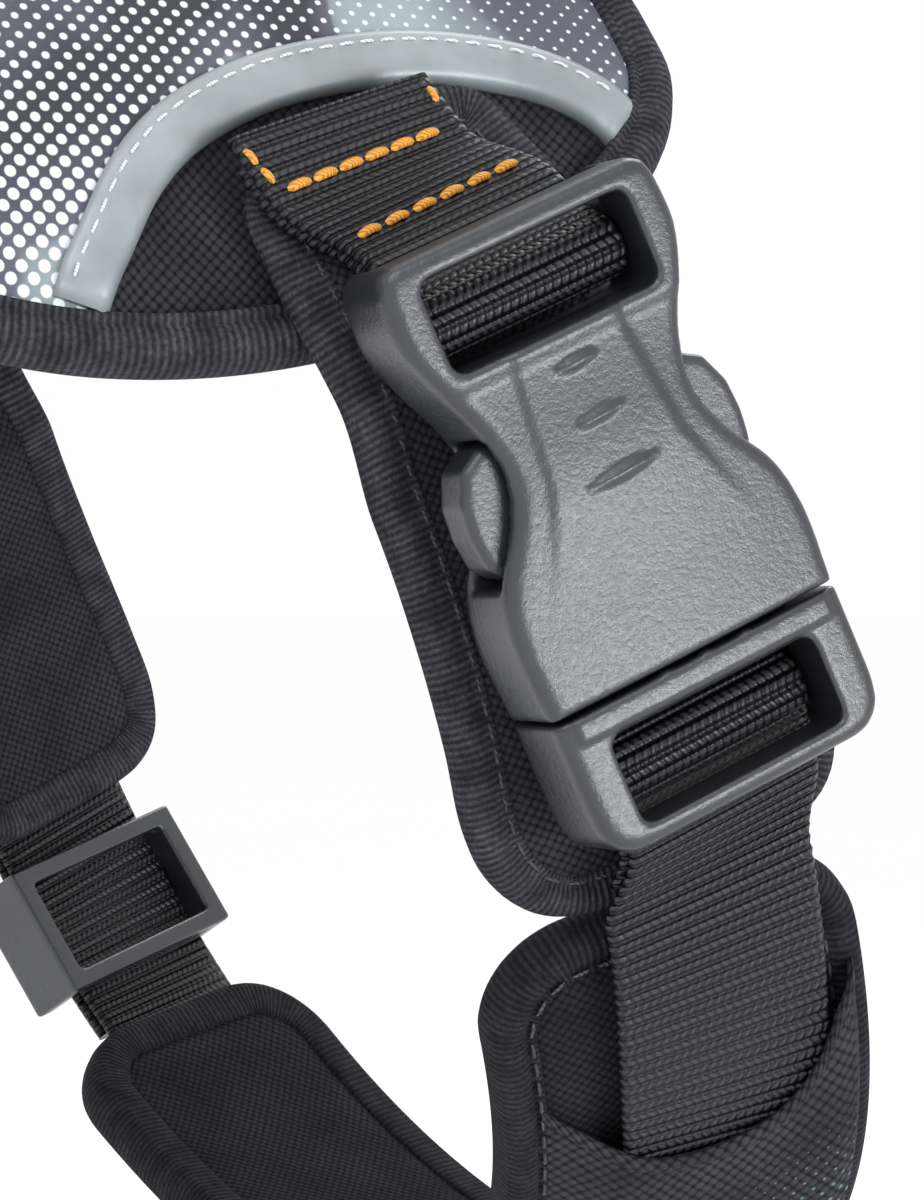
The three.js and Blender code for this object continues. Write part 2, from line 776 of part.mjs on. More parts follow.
// The sleeve is a flat tunnel over the strap, open at both ends.
const tunnelTop = strapHeight + layerAt + webbing.thickness / 2 + 0.6;
const tunnelFoot = bellyCover + layers.cover + 0.35;
const tunnelLeft = bellyPad.shift - bellyWidth / 2 + binding.width;
const tunnelRight = bellyPad.shift + bellyWidth / 2 - 1.6;
const besideStrap = webbing.width / 2 + 0.9;
const tunnel = [
  [tunnelLeft, tunnelFoot],
  [tunnelLeft + 1.3, tunnelFoot],
  [-besideStrap, tunnelTop],
  [besideStrap, tunnelTop],
  [tunnelRight - 1.3, tunnelFoot],
  [tunnelRight, tunnelFoot],
  [besideStrap + 0.5, tunnelTop + sleeve.wall],
  [-besideStrap - 0.5, tunnelTop + sleeve.wall],
];
add(
  "belly_sleeve",
  moved(
    new THREE.ExtrudeGeometry(shapeOf(tunnel), {
      depth: sleeve.length,
      steps: 22,
      bevelEnabled: false,
    }),
    (w, h, t) => onHoop(w, sleeve.mouth + t, h),
  ),
  finish.mesh,
);

// A slider has two outer bars behind the strap and a middle bar in front of it.
// reach is how far the strap lies from the slider's middle, play the room left on each face.
function sliderBody(reach, play) {
  const rail = strapGap + slider.rail;
  const low = -reach - play;
  const high = reach + play;
  const parts = [-1, 1].map((side) =>
    block(
      side > 0 ? strapGap : -rail,
      side > 0 ? rail : -strapGap,
      -slider.height / 2,
      slider.height / 2,
      low - 1.8,
      high + 1.8,
    ),
  );
  const outerBar = (y) => block(-strapGap - 1, strapGap + 1, y, y + slider.bar, low - 1.8, low);
  parts.push(outerBar(-slider.height / 2), outerBar(slider.height / 2 - slider.bar));
  parts.push(block(-strapGap - 1, strapGap + 1, -slider.bar, slider.bar, high, high + 1.8));
  return join(...parts);
}

function frameAt(place, t, h) {
  const origin = place(0, t, h);
  const alongStrap = place(0, t + 1, h).sub(place(0, t - 1, h)).normalize();
  const side = place(1, t, h).sub(place(-1, t, h)).normalize();
  const out = side.clone().cross(alongStrap).normalize();
  if (out.dot(place(0, t, h + 1).sub(origin)) < 0) out.negate();
  side.addScaledVector(alongStrap, -side.dot(alongStrap)).normalize();
  return (x, y, z) =>
    origin.clone().addScaledVector(side, x).addScaledVector(alongStrap, y).addScaledVector(out, z);
}
const sliderAt = 44; // below the loop's lower bar
add(
  "belly_slider",
  moved(sliderBody(twoLayers, slider.bellyPlay), frameAt(onHoop, halfTurn - sliderAt, strapHeight)),
  finish.plastic,
);

// ---------- handle and leash ring on the spine ----------
const handleFoot = printTop + layers.gap + webbing.thickness / 2;
const handleHalf = handle.span / 2;
const handleTop = handleFoot + handle.rise;
const handlePath = [
  [handle.middle - handleHalf - handle.foot, handleFoot],
  [handle.middle - handleHalf - 2, handleFoot],
  ...spline(
    [
      [handle.middle - handleHalf + 2, handleFoot + 1.2],
      [handle.middle - handleHalf + 9, handleFoot + handle.rise * 0.62],
      [handle.middle - grip.span / 2, handleTop - 1.2],
      [handle.middle, handleTop],
      [handle.middle + grip.span / 2, handleTop - 1.2],
      [handle.middle + handleHalf - 9, handleFoot + handle.rise * 0.62],
      [handle.middle + handleHalf - 2, handleFoot + 1.2],
    ],
    18,
  ),
  [handle.middle + handleHalf + 2, handleFoot],
  [handle.middle + handleHalf + handle.foot, handleFoot],
];
const upright = (x, h, s) => onTorso(x, s, h);
const handleStrip = plate(band(handlePath, webbing.thickness), -webbing.width / 2, webbing.width / 2);
add("handle_webbing", moved(sliced(handleStrip, { 2: 7 }), upright), finish.webbing);
const gripPlay = 0.5; // the webbing passes through the grip with this much room on each face
const gripLine = spline(
  [
    [handle.middle - grip.span / 2, handleTop - 1.2],
    [handle.middle, handleTop],
    [handle.middle + grip.span / 2, handleTop - 1.2],
  ],
  8,
);
const gripShell = cut(
  plate(band(gripLine, webbing.thickness + 2 * grip.wall), -grip.width / 2, grip.width / 2),
  plate(
    band(handlePath, webbing.thickness + 2 * gripPlay),
    -webbing.width / 2 - webbing.play,
    webbing.width / 2 + webbing.play,
  ),
);
add("handle_grip", moved(sliced(gripShell, { 2: 7 }), upright), finish.gripCover);

// A ring of square stock: a straight bar in the keeper, rails and a round end with a flat middle.
function dRing(width, depth, stock) {
  const outline = (margin) => {
    const radius = width / 2 + stock - margin;
    const reach = depth + stock - margin;
    const from = -stock / 2 + margin;
    const flattened = ([u, v]) => [u, reach + 0.8 * (v - radius)];
    return [
      [radius, from],
      ...arc(0, 0, radius, 6, 78, 6).map(flattened),
      ...arc(0, 0, radius, 102, 174, 6).map(flattened),
      [-radius, from],
    ];
  };
  return plate(outline(0), -stock / 2, stock / 2, [outline(stock)]);
}

// A short webbing lies on its base, arches over a ring's bar and lies down again.
const humpOver = (stock) => 0.72 * stock + webbing.play + webbing.thickness / 2 + 0.2;
function keeper(stock, barHeight, base, reach, width) {
  const hump = humpOver(stock);
  const foot = base + webbing.thickness / 2;
  const path = [
    [-reach, foot],
    [-hump - 2.5, foot],
    ...arc(0, barHeight, hump, 200, -20, 10),
    [hump + 2.5, foot],
    [reach, foot],
  ];
  return plate(band(path, webbing.thickness), -width / 2, width / 2);
}

const keeperBase = printTop + layers.gap + 0.3;
const ringBarHeight = keeperBase + webbing.play + 0.72 * leashRing.stock;
add(
  "ring_keeper",
  moved(keeper(leashRing.stock, ringBarHeight, keeperBase, 12, leashRing.width - 5), (x, h, s) =>
    vec(leashRing.at + x, -s, h),
  ),
  finish.webbing,
);
const ringTilt = radians(leashRing.lift);
add(
  "leash_ring",
  moved(dRing(leashRing.width, leashRing.depth, leashRing.stock), (u, v, k) =>
    vec(
      leashRing.at + v * Math.cos(ringTilt) - k * Math.sin(ringTilt),
      u,
      ringBarHeight + v * Math.sin(ringTilt) + k * Math.cos(ringTilt),
    ),
  ),
  finish.ring,
);

// ---------- chest loop ----------
const chestOutline = roundedBox(
  -chestPad.width / 2,
  chestPad.width / 2,
  chestMiddle - chestPad.length / 2,
  chestMiddle + chestPad.length / 2,
  chestPad.corner,
);
const chestField = inset(chestOutline, binding.width + layers.gap);
const chestFoamTop = foamFrom + chestPad.foam;
const chestCover = chestFoamTop + layers.gap;
for (const [name, from, to, material] of [
  ["chest_pad_lining", 0, liningTop, finish.mesh],
  ["chest_pad_foam", foamFrom, chestFoamTop, finish.foam],
  ["chest_pad_cover", chestCover, chestCover + layers.cover, finish.print],
])
  add(name, bend(plate(chestField, from, to), onChest, 8), material);
add(
  "chest_pad_binding",
  bend(
    plate(chestOutline, -binding.wrap, chestCover + layers.cover + 0.2, [inset(chestOutline, binding.width)]),
    onChest,
    8,
  ),
  finish.binding,
);

// The straps are sewn on the saddle's front lobes, leave them forwards and end on the chest pad.
const lobe = { from: saddle.frontLobe + 32, s: flank - 35, edge: saddle.frontLobe - 4 };
const lobeTop = printTop + layers.gap + webbing.thickness / 2;
const strapFoot = chestCover + layers.cover + layers.gap + webbing.thickness / 2;
const onPad = 20; // strap sewn on the pad
const sewnRun = lobe.from - lobe.edge;
const chestEntry =
  chest.unroll * Math.asin((chest.back - lobe.edge) / (chest.reach * Math.cos(radians(chest.pitch))));
const freeRun = chestMiddle - chestPad.length / 2 + onPad - chestEntry;
const turnRun = 24; // the strap turns from the saddle's slope to the chest loop's in this length
function chestStrap(sideSign) {
  const total = sewnRun + freeRun;
  const halves = [webbing.width / 2, webbing.thickness / 2];
  const flat = block(0, total, -halves[1], halves[1], -halves[0], halves[0]);
  return moved(sliced(flat, { 0: 4, 2: 7 }), (u, e, x) => {
    const sewn = onTorso(lobe.from - u, lobe.s - x, lobeTop + e);
    const free = onChest(x, chestEntry + u - sewnRun, strapFoot + e);
    const p = sewn.lerp(free, ease(u, sewnRun, sewnRun + turnRun));
    p.y *= sideSign;
    return p;
  });
}
add("chest_strap_left", chestStrap(1), finish.webbing);
add("chest_strap_right", chestStrap(-1), finish.webbing);

const chestSliderAt = chestEntry + turnRun + 11;
for (const [name, sign] of [
  ["chest_slider_left", 1],
  ["chest_slider_right", -1],
]) {
  const place = (x, y, z) => {
    const p = frameAt(onChest, chestSliderAt, strapFoot)(x, y, z);
    p.y *= sign;
    return p;
  };
  add(name, moved(sliderBody(webbing.thickness / 2, slider.chestPlay), place), finish.plastic);
}

// The front ring hangs from a keeper in the middle of the chest pad.
const keeperFoot = chestCover + layers.cover + layers.gap;
const chestBar = keeperFoot + webbing.play + 0.72 * chestRing.stock + 0.2;
const ringBelow = 2; // the ring's bar below the pad's middle line
const frontFrame = (x, y, z) =>
  onChest(0, chestMiddle, 0).addScaledVector(chestAhead, z).addScaledVector(chestUp, y).add(vec(0, x, 0));
add(
  "chest_ring_keeper",
  moved(keeper(chestRing.stock, chestBar, keeperFoot, 15, chestRing.width - 6), (y, z, x) =>
    frontFrame(x, y + ringBelow, z),
  ),
  finish.webbing,
);
const hang = radians(chest.pitch); // the ring hangs straight down from the sloping pad
add(
  "chest_ring",
  moved(dRing(chestRing.width, chestRing.depth, chestRing.stock), (u, v, k) =>
    frontFrame(
      u,
      ringBelow - v * Math.cos(hang) + k * Math.sin(hang),
      chestBar + v * Math.sin(hang) + k * Math.cos(hang),
    ),
  ),
  finish.ring,
);

export default vest;
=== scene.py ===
"""Safety harness vest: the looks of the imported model.

Lengths are in millimetres until a mesh is made, and +X points to the wearer's tail, +Y to its right.
"""
import math

import bpy
import numpy as np
from mathutils import Matrix, Vector
from mathutils.geometry import delaunay_2d_cdt


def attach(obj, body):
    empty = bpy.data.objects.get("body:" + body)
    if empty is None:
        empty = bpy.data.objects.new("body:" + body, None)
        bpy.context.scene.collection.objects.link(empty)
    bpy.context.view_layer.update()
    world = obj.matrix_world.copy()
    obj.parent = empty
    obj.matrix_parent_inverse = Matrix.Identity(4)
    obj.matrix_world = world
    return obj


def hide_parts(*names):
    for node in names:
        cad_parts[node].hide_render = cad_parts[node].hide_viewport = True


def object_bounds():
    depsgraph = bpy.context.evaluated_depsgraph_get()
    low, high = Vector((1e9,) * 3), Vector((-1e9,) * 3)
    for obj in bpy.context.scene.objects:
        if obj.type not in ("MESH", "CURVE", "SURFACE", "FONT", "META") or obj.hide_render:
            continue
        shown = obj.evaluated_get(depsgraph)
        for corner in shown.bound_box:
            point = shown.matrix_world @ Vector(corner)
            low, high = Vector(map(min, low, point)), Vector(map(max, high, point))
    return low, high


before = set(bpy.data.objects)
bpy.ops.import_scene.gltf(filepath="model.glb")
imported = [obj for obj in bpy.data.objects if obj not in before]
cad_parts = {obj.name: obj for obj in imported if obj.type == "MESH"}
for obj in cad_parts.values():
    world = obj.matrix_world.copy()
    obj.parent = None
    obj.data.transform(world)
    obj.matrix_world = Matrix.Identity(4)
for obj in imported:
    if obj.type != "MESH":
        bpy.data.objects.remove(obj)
cad_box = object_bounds()
MM = 0.001

# ---------- sizes, the same as the solids' ----------
HALF_WIDTH, TAPER = 79.0, 0.2
BACK_HEIGHT, BELLY_HEIGHT = 100.0, 82.0
WIDEST = -BACK_HEIGHT  # level of the widest part of the torso
UNROLL = 90.0
HALF_TURN = math.pi * UNROLL
GAP = 0.5
PRINT_TOP = 6.0
BINDING_WIDTH = 5.5
SEWN_IN = BINDING_WIDTH - 0.9  # from a pad's edge to the stitches in its tape
BINDING_TOP = 6.25
TAPE_UNDER = -0.4  # the inner face of an edge tape
FLANK = 115.5
WEB_WIDTH, WEB_THICK, WEB_PLAY = 24.6, 1.7, 0.3
BOTH_LAYERS = WEB_THICK + WEB_PLAY
BAR = 1.75
SLANT, YAW = math.radians(25), math.radians(8)
BUCKLE_HALF, BUCKLE_THICK, SEAM = 18.0, 12.5, 0.8
HOUSING_BAR = (42.0, -1.0)
LATCH_BAR = (-9.2, -1.8)
STRAP_HEIGHT = 8.0
SIDE_HEIGHT = 11.4
LOOP_BAR, LOOP_HEIGHT = 1.8, 15.0
SLIDER_FROM_LOOP = 44.0
CHEST_HALF, CHEST_REACH, CHEST_UNROLL = 46.0, 104.0, 76.0
CHEST_BACK, CHEST_DROP, CHEST_PITCH = -98.0, -36.0, math.radians(34)
CHEST_MIDDLE = CHEST_UNROLL * math.pi / 2

# ---------- sizes of the cloth's own pattern ----------
RIB = 1.35  # from one rib of the webbing to the next
FLOAT_PITCH = 1.05  # from one slanted float of yarn to the next, across the webbing
TAPE_RIB = 0.9
DOT_CELL = 1.7  # from one printed dot to the nearest of the next row
YARN = 0.4
PRINT_CLOTH = 0.45


# ---------- where things lie on the wearer ----------
def unit(v):
    return v / np.linalg.norm(v, axis=-1, keepdims=True)


def stack(x, y, z):
    return np.stack(np.broadcast_arrays(np.asarray(x, float), y, z), axis=-1)


def ease(value, start, end):
    t = np.clip((np.asarray(value, float) - start) / (end - start), 0, 1)
    return t * t * (3 - 2 * t)


def mix(a, b, t):
    return a + (b - a) * t


def height_at(z):
    return np.where(z > WIDEST, BACK_HEIGHT, BELLY_HEIGHT)


def skin_normal(p):
    a = HALF_WIDTH + TAPER * p[..., 0]
    y = p[..., 1]
    z = p[..., 2]
    return unit(stack(-y * y * TAPER / a**3, y / a**2, (z - WIDEST) / height_at(z) ** 2))


def on_torso(x, s, h):
    """x along the spine, s round the body from the spine to the left, h outwards."""
    x, s, h = np.broadcast_arrays(np.asarray(x, float), s, h)
    angle = s / UNROLL
    height = np.where(np.cos(angle) > 0, BACK_HEIGHT, BELLY_HEIGHT)
    p = stack(x, -(HALF_WIDTH + TAPER * x) * np.sin(angle), WIDEST + height * np.cos(angle))
    return p + skin_normal(p) * h[..., None]


ACROSS = np.array([math.cos(SLANT), 0, math.sin(SLANT)])
DOWN = np.array([math.sin(SLANT), 0, -math.cos(SLANT)])


def reach_of(p):
    return np.hypot(
        p[..., 1] / (HALF_WIDTH + TAPER * p[..., 0]), (p[..., 2] - WIDEST) / height_at(p[..., 2])
    )


def on_hoop(w, t, h):
    """w across the belly band, t round it from the widest level on the left, h outwards."""
    w, t, h = np.broadcast_arrays(np.asarray(w, float), t, h)
    angle = t / UNROLL
    ray = np.array([0, -1.0, 0]) * np.cos(angle)[..., None] + DOWN * np.sin(angle)[..., None]
    centre = np.array([0, 0, WIDEST])
    reach = np.full(angle.shape, HALF_WIDTH)
    for _ in range(24):
        reach = reach / reach_of(centre + ray * reach[..., None])
    p = centre + ray * reach[..., None]
    normal = skin_normal(p)
    side = unit(ACROSS - normal * (normal @ ACROSS)[..., None])
    p = p + side * w[..., None]
    r = reach_of(p)
    p = stack(p[..., 0], p[..., 1] / r, WIDEST + (p[..., 2] - WIDEST) / r)
    return p + skin_normal(p) * h[..., None]


def on_right_hoop(w, t, h):
    return on_hoop(w, HALF_TURN - np.asarray(t, float), h)


CHEST_AHEAD = np.array([-math.cos(CHEST_PITCH), 0, -math.sin(CHEST_PITCH)])
CHEST_UP = np.array([-math.sin(CHEST_PITCH), 0, math.cos(CHEST_PITCH)])
SIDEWAYS = np.array([0, 1.0, 0])


def on_chest(w, t, h):
    """w up across the chest loop, t round it from the left shoulder, h outwards."""
    w, t, h = np.broadcast_arrays(np.asarray(w, float), t, h)
    angle = t / CHEST_UNROLL
    return (
        np.array([CHEST_BACK, 0, CHEST_DROP])
        - SIDEWAYS * ((CHEST_HALF + h) * np.cos(angle))[..., None]
        + CHEST_AHEAD * ((CHEST_REACH + h) * np.sin(angle))[..., None]
        + CHEST_UP * w[..., None]
    )


def local_frame(origin, x_axis, y_axis, z_axis):
    """A function that turns local x, y, z into places on the vest, and its matrix in metres."""

    def place(x, y, z):
        x, y, z = np.broadcast_arrays(np.asarray(x, float), y, z)
        return origin + x_axis * x[..., None] + y_axis * y[..., None] + z_axis * z[..., None]

    columns = np.column_stack([x_axis, y_axis, z_axis, origin * MM])
    place.matrix = Matrix([list(row) for row in columns] + [[0, 0, 0, 1]])
    return place


level = np.array([math.cos(YAW), -math.sin(YAW), 0])
buckle_across = level * math.cos(SLANT) + np.array([0, 0, math.sin(SLANT)])
buckle_up = -level * math.sin(SLANT) + np.array([0, 0, math.cos(SLANT)])
buckle_out = np.cross(buckle_across, buckle_up)
MOUTH = np.array([0, -(HALF_WIDTH + 14.0), WIDEST])
in_buckle = local_frame(MOUTH, buckle_across, buckle_up, buckle_out)
in_side_loop = local_frame(on_hoop(0, HALF_TURN, SIDE_HEIGHT), ACROSS, -DOWN, SIDEWAYS)


def frame_on(place, t, h):
    origin = place(0, t, h)
    along = unit(place(0, t + 1, h) - place(0, t - 1, h))
    side = unit(place(1, t, h) - place(-1, t, h))
    side = unit(side - along * (side @ along))
    out = np.cross(side, along)
    if out @ (place(0, t, h + 1) - origin) < 0:
        out = -out
    return local_frame(origin, side, along, out)


def mirrored_frame(of_left):
    """The same piece on the other flank: its own x turns round, so that it isn't inside out."""
    flip = np.array([1.0, -1.0, 1.0])
    origin = of_left(0, 0, 0) * flip
    axes = [(of_left(*step) - of_left(0, 0, 0)) * flip for step in ((-1, 0, 0), (0, 1, 0), (0, 0, 1))]
    return local_frame(origin, *axes)


# The guards lie over the saddle's edge at their top, and on the body lower down.
SADDLE_EDGE = -42.0


def off_saddle(t):
    return ease(t, SADDLE_EDGE, SADDLE_EDGE + 15)


def guard_from(t):
    return mix(BINDING_TOP + GAP + 0.3, 0.9, off_saddle(t))


def guard_top(t):
    sewn = mix(1.0, 2.5, ease(t, -62, -54))
    return guard_from(t) + mix(sewn, 3.8, off_saddle(t))


# ---------- flat outlines ----------
def spaced(points, step, closed=False):
    """A smooth line through the points, with one point every step."""
    p = np.asarray(points, float)
    if closed:
        p = np.vstack([p[-2:], p, p[:3]])
    else:
        p = np.vstack([2 * p[0] - p[1], p, 2 * p[-1] - p[-2]])
    knots = np.concatenate([[0], np.cumsum(np.sqrt(np.linalg.norm(np.diff(p, axis=0), axis=1)))])
    first, last = (2, len(p) - 3) if closed else (1, len(p) - 2)
    fine = []
    for i in range(first, last):
        t0, t1, t2, t3 = knots[i - 1 : i + 3]
        for t in np.linspace(t1, t2, 24, endpoint=False):
            a1 = mix(p[i - 1], p[i], (t - t0) / (t1 - t0))
            a2 = mix(p[i], p[i + 1], (t - t1) / (t2 - t1))
            a3 = mix(p[i + 1], p[i + 2], (t - t2) / (t3 - t2))
            b1 = mix(a1, a2, (t - t0) / (t2 - t0))
            b2 = mix(a2, a3, (t - t1) / (t3 - t1))
            fine.append(mix(b1, b2, (t - t1) / (t2 - t1)))
    fine.append(p[last])
    return resampled(np.array(fine), step, closed)


def resampled(line, step, closed=False):
    run = np.concatenate([[0], np.cumsum(np.linalg.norm(np.diff(line, axis=0), axis=1))])
    count = max(2, round(run[-1] / step))
    at = np.linspace(0, run[-1], count + 1)
    even = np.stack([np.interp(at, run, line[:, k]) for k in range(line.shape[1])], axis=1)
    return even[:-1] if closed else even


def sideways(line, closed=False):
    """Unit vectors to the left of a line's direction."""
    if closed:
        run = np.roll(line, -1, axis=0) - np.roll(line, 1, axis=0)
    else:
        run = np.gradient(line, axis=0)
    return unit(np.stack([-run[:, 1], run[:, 0]], axis=1))


def area_of(line):
    after = np.roll(line, -1, axis=0)
    return float(np.sum(line[:, 0] * after[:, 1] - after[:, 0] * line[:, 1]) / 2)


def inwards(line):
    return sideways(line, True) * math.copysign(1, area_of(line))


def inset(line, distance):
    return line + inwards(line) * distance


def rounded_box(u0, u1, v0, v1, radius, step=1.2):
    corners = [(u1 - radius, v1 - radius, 0), (u0 + radius, v1 - radius, 90)]
    corners += [(u0 + radius, v0 + radius, 180), (u1 - radius, v0 + radius, 270)]
    line = []
    for cu, cv, start in corners:
        for angle in np.radians(np.linspace(start, start + 90, 12)):
            line.append((cu + radius * math.cos(angle), cv + radius * math.sin(angle)))
    line.append(line[0])
    return resampled(np.array(line), step, True)


def distance_to(points, line, closed=True):
    """Shortest distance from each point to a line."""
    ends = np.roll(line, -1, axis=0) if closed else line[1:]
    starts = line if closed else line[:-1]
    best = np.full(len(points), 1e9)
    for a, b in zip(starts, ends):
        along = b - a
        t = np.clip(((points - a) @ along) / max(along @ along, 1e-9), 0, 1)
        best = np.minimum(best, np.linalg.norm(points - a - t[:, None] * along, axis=1))
    return best


def inside(points, line):
    """Whether each point is within a closed line."""
    hit = np.zeros(len(points), bool)
    for (u1, v1), (u2, v2) in zip(line, np.roll(line, -1, axis=0)):
        crosses = (v1 > points[:, 1]) != (v2 > points[:, 1])
        at = (u2 - u1) * (points[:, 1] - v1) / ((v2 - v1) or 1e-9) + u1
        hit ^= crosses & (points[:, 0] < at)
    return hit


# ---------- making meshes ----------
def make_mesh(name, points, faces, uv=None):
    """A piece from points in millimetres. uv gives each face corner's flat place, in metres."""
    mesh = bpy.data.meshes.new(name)
    mesh.from_pydata((np.asarray(points) * MM).tolist(), [], faces)
    if uv is not None:
        layer = mesh.uv_layers.new(name="cloth")
        layer.data.foreach_set("uv", (np.asarray(uv, float) * MM).ravel())
    mesh.polygons.foreach_set("use_smooth", [True] * len(mesh.polygons))
    piece = bpy.data.objects.new(name, mesh)
    bpy.context.scene.collection.objects.link(piece)
    turn_outwards(piece)
    return piece


def turn_outwards(piece):
    mesh = piece.data
    mesh.calc_loop_triangles()
    co = np.empty(len(mesh.vertices) * 3)
    mesh.vertices.foreach_get("co", co)
    corners = np.empty(len(mesh.loop_triangles) * 3, np.int64)
    mesh.loop_triangles.foreach_get("vertices", corners)
    a, b, c = co.reshape(-1, 3)[corners.reshape(-1, 3)].transpose(1, 0, 2)
    if np.sum(np.cross(a, b) * c) < 0:
        mesh.flip_normals()


def sweep(name, rings, along, around, closed=False):
    """A skin over rings of points. along and around are the flat lengths for its uv."""
    count, size = rings.shape[:2]
    last = count if closed else count - 1
    faces, uv = [], []
    for i in range(last):
        for j in range(size):
            k, m = (i + 1) % count, (j + 1) % size
            faces.append((i * size + j, k * size + j, k * size + m, i * size + m))
            uv += [(along[i], around[j]), (along[i + 1], around[j])]
            uv += [(along[i + 1], around[j + 1]), (along[i], around[j + 1])]
    if not closed:
        for start, order in ((0, range(size - 1, -1, -1)), ((count - 1) * size, range(size))):
            faces.append(tuple(start + j for j in order))
            uv += [(along[0 if start == 0 else -1], around[j]) for j in order]
    return make_mesh(name, rings.reshape(-1, 3), faces, uv)


def run_of(line, closed=False):
    steps = np.linalg.norm(np.diff(np.vstack([line, line[:1]]) if closed else line, axis=0), axis=1)
    return np.concatenate([[0], np.cumsum(steps)])


def flat_triangles(outline, spacing, lines=()):
    """Even triangles that fill an outline. lines are others that their edges follow."""
    low, high = outline.min(axis=0), outline.max(axis=0)
    grid = []
    for row, v in enumerate(np.arange(low[1], high[1], spacing * 0.87)):
        shift = spacing / 2 * (row % 2)
        grid += [(u + shift, v) for u in np.arange(low[0], high[0], spacing)]
    grid = np.array(grid)
    keep = inside(grid, outline) & (distance_to(grid, outline) > spacing * 0.55)
    count = len(outline)
    points = [outline]
    edges = [(i, (i + 1) % count) for i in range(count)]
    for line in lines:
        keep &= distance_to(grid, line, False) > spacing * 0.55
        edges += [(count + i, count + i + 1) for i in range(len(line) - 1)]
        points.append(line)
        count += len(line)
    points.append(grid[keep])
    made = delaunay_2d_cdt([Vector(p) for p in np.vstack(points)], edges, [], 1, 1e-5)
    flat = np.array([tuple(p) for p in made[0]])
    faces = np.array([f for f in made[2] if len(f) == 3])
    middles = flat[faces].mean(axis=1)
    return flat, faces[inside(middles, outline)]


def level_of(height, flat):
    """A height over the body that is the same everywhere, or worked out from the flat place."""
    return height(flat) if callable(height) else np.full(len(flat), height)


def padded_pair(name, outline, place, low, high, spacing, edge_round, dimples=None, waist_at=0.45):
    """A closed pad: one face on the body, one outwards, both drawn in towards the sewn edge."""
    flat, faces = flat_triangles(outline, spacing)
    low, high = level_of(low, flat), level_of(high, flat)
    from_edge = distance_to(flat, outline)
    crown = np.sqrt(np.clip(1 - (1 - np.clip(from_edge / edge_round, 0, 1)) ** 2, 0, 1))
    waist = mix(low, high, waist_at)
    top = mix(waist, high, crown)
    base = mix(waist, low, crown)
    if dimples is not None:
        top = top + dimples(flat) * crown
    count = len(flat)
    points = np.vstack([place(flat[:, 0], flat[:, 1], level) for level in (top, base)])
    # the two faces share their points on the rim
    lower = np.arange(count) + np.where(from_edge < 1e-4, 0, count)
    under = lower[faces][:, ::-1]
    uv = np.vstack([flat[faces].reshape(-1, 2), flat[faces][:, ::-1].reshape(-1, 2)])
    piece = make_mesh(name, points, np.vstack([faces, under]).tolist(), uv)
    tidy_loose(piece)
    return piece


def printed_sheet(name, flat, faces, place, height):
    """Thin cloth that lies over a pad, with its face away from the body."""
    points = place(flat[:, 0], flat[:, 1], height)
    piece = make_mesh(name, points, faces.tolist(), flat[faces].reshape(-1, 2))
    corner = flat[faces[0][0]]
    out = place(*corner, 5.0) - place(*corner, 0)
    if np.dot(np.array(piece.data.polygons[0].normal), out) < 0:
        piece.data.flip_normals()
    tidy_loose(piece)
    finish_with(piece, "SOLIDIFY", thickness=PRINT_CLOTH * MM, offset=-1.0)
    return piece


def only(piece):
    """Makes one piece the selected, active one."""
    if bpy.context.mode != "OBJECT":
        bpy.ops.object.mode_set(mode="OBJECT")
    bpy.ops.object.select_all(action="DESELECT")
    piece.select_set(True)
    bpy.context.view_layer.objects.active = piece


def tidy_loose(piece):
    only(piece)
    bpy.ops.object.mode_set(mode="EDIT")
    bpy.ops.mesh.select_all(action="SELECT")
    bpy.ops.mesh.delete_loose()
    bpy.ops.object.mode_set(mode="OBJECT")


def finish_with(piece, kind, **settings):
    only(piece)
    change = piece.modifiers.new(kind.lower(), kind)
    for name, value in settings.items():
        setattr(change, name, value)
    bpy.ops.object.modifier_apply(modifier=change.name)


def edge_tape(name, outline, place, low, high, width=BINDING_WIDTH):
    """Folded tape round an edge: domed on both faces, with a sewn groove near its inner edge."""
    into = inwards(outline)
    run = run_of(outline, True)
    total = round(run[-1] / TAPE_RIB) * TAPE_RIB
    profile = [(width, 0.86), (width - 0.25, 0.98), (width - 0.75, 1.0), (width - 1.35, 0.93)]
    profile += [
        (width - 2.0, 1.04), (width - 3.2, 1.1), (1.3, 1.06), (0.45, 0.93), (0.0, 0.72), (-0.2, 0.45)
    ]
    profile += [(0.0, 0.2), (0.5, 0.05), (1.4, -0.03), (width - 1.2, 0.0), (width, 0.03), (width, 0.4)]
    bottom, top = level_of(low, outline), level_of(high, outline)
    rings = []
    for distance, rise in profile:
        flat = outline + into * distance
        rings.append(place(flat[:, 0], flat[:, 1], bottom + (top - bottom) * rise))
    rings = np.stack(rings, axis=1)
    around = np.concatenate(
        [[0], np.cumsum(np.hypot(*(np.diff(profile + profile[:1], axis=0) * [1, 5]).T))]
    )
    return sweep(name, rings, run * total / run[-1], around, closed=True)


# ---------- webbing ----------
def eased_line(line, rounds):
    for _ in range(rounds):
        line = np.vstack([line[:1], (line[:-2] + 2 * line[1:-1] + line[2:]) / 4, line[-1:]])
    return line


def bar_loop(bar, front_end, back_end):
    """Webbing that comes to a bar, turns round it and goes back, as d along it and e outwards."""
    radius = bar + WEB_PLAY + WEB_THICK / 2
    angles = np.radians(np.linspace(50, 310, 26))
    line = [(front_end, BOTH_LAYERS / 2), (4.5, BOTH_LAYERS / 2)]
    line += [(radius * math.cos(a), radius * math.sin(a)) for a in angles]
    line += [(4.5, -BOTH_LAYERS / 2), (back_end, -BOTH_LAYERS / 2)]
    return eased_line(resampled(np.array(line), RIB / 4), 5)


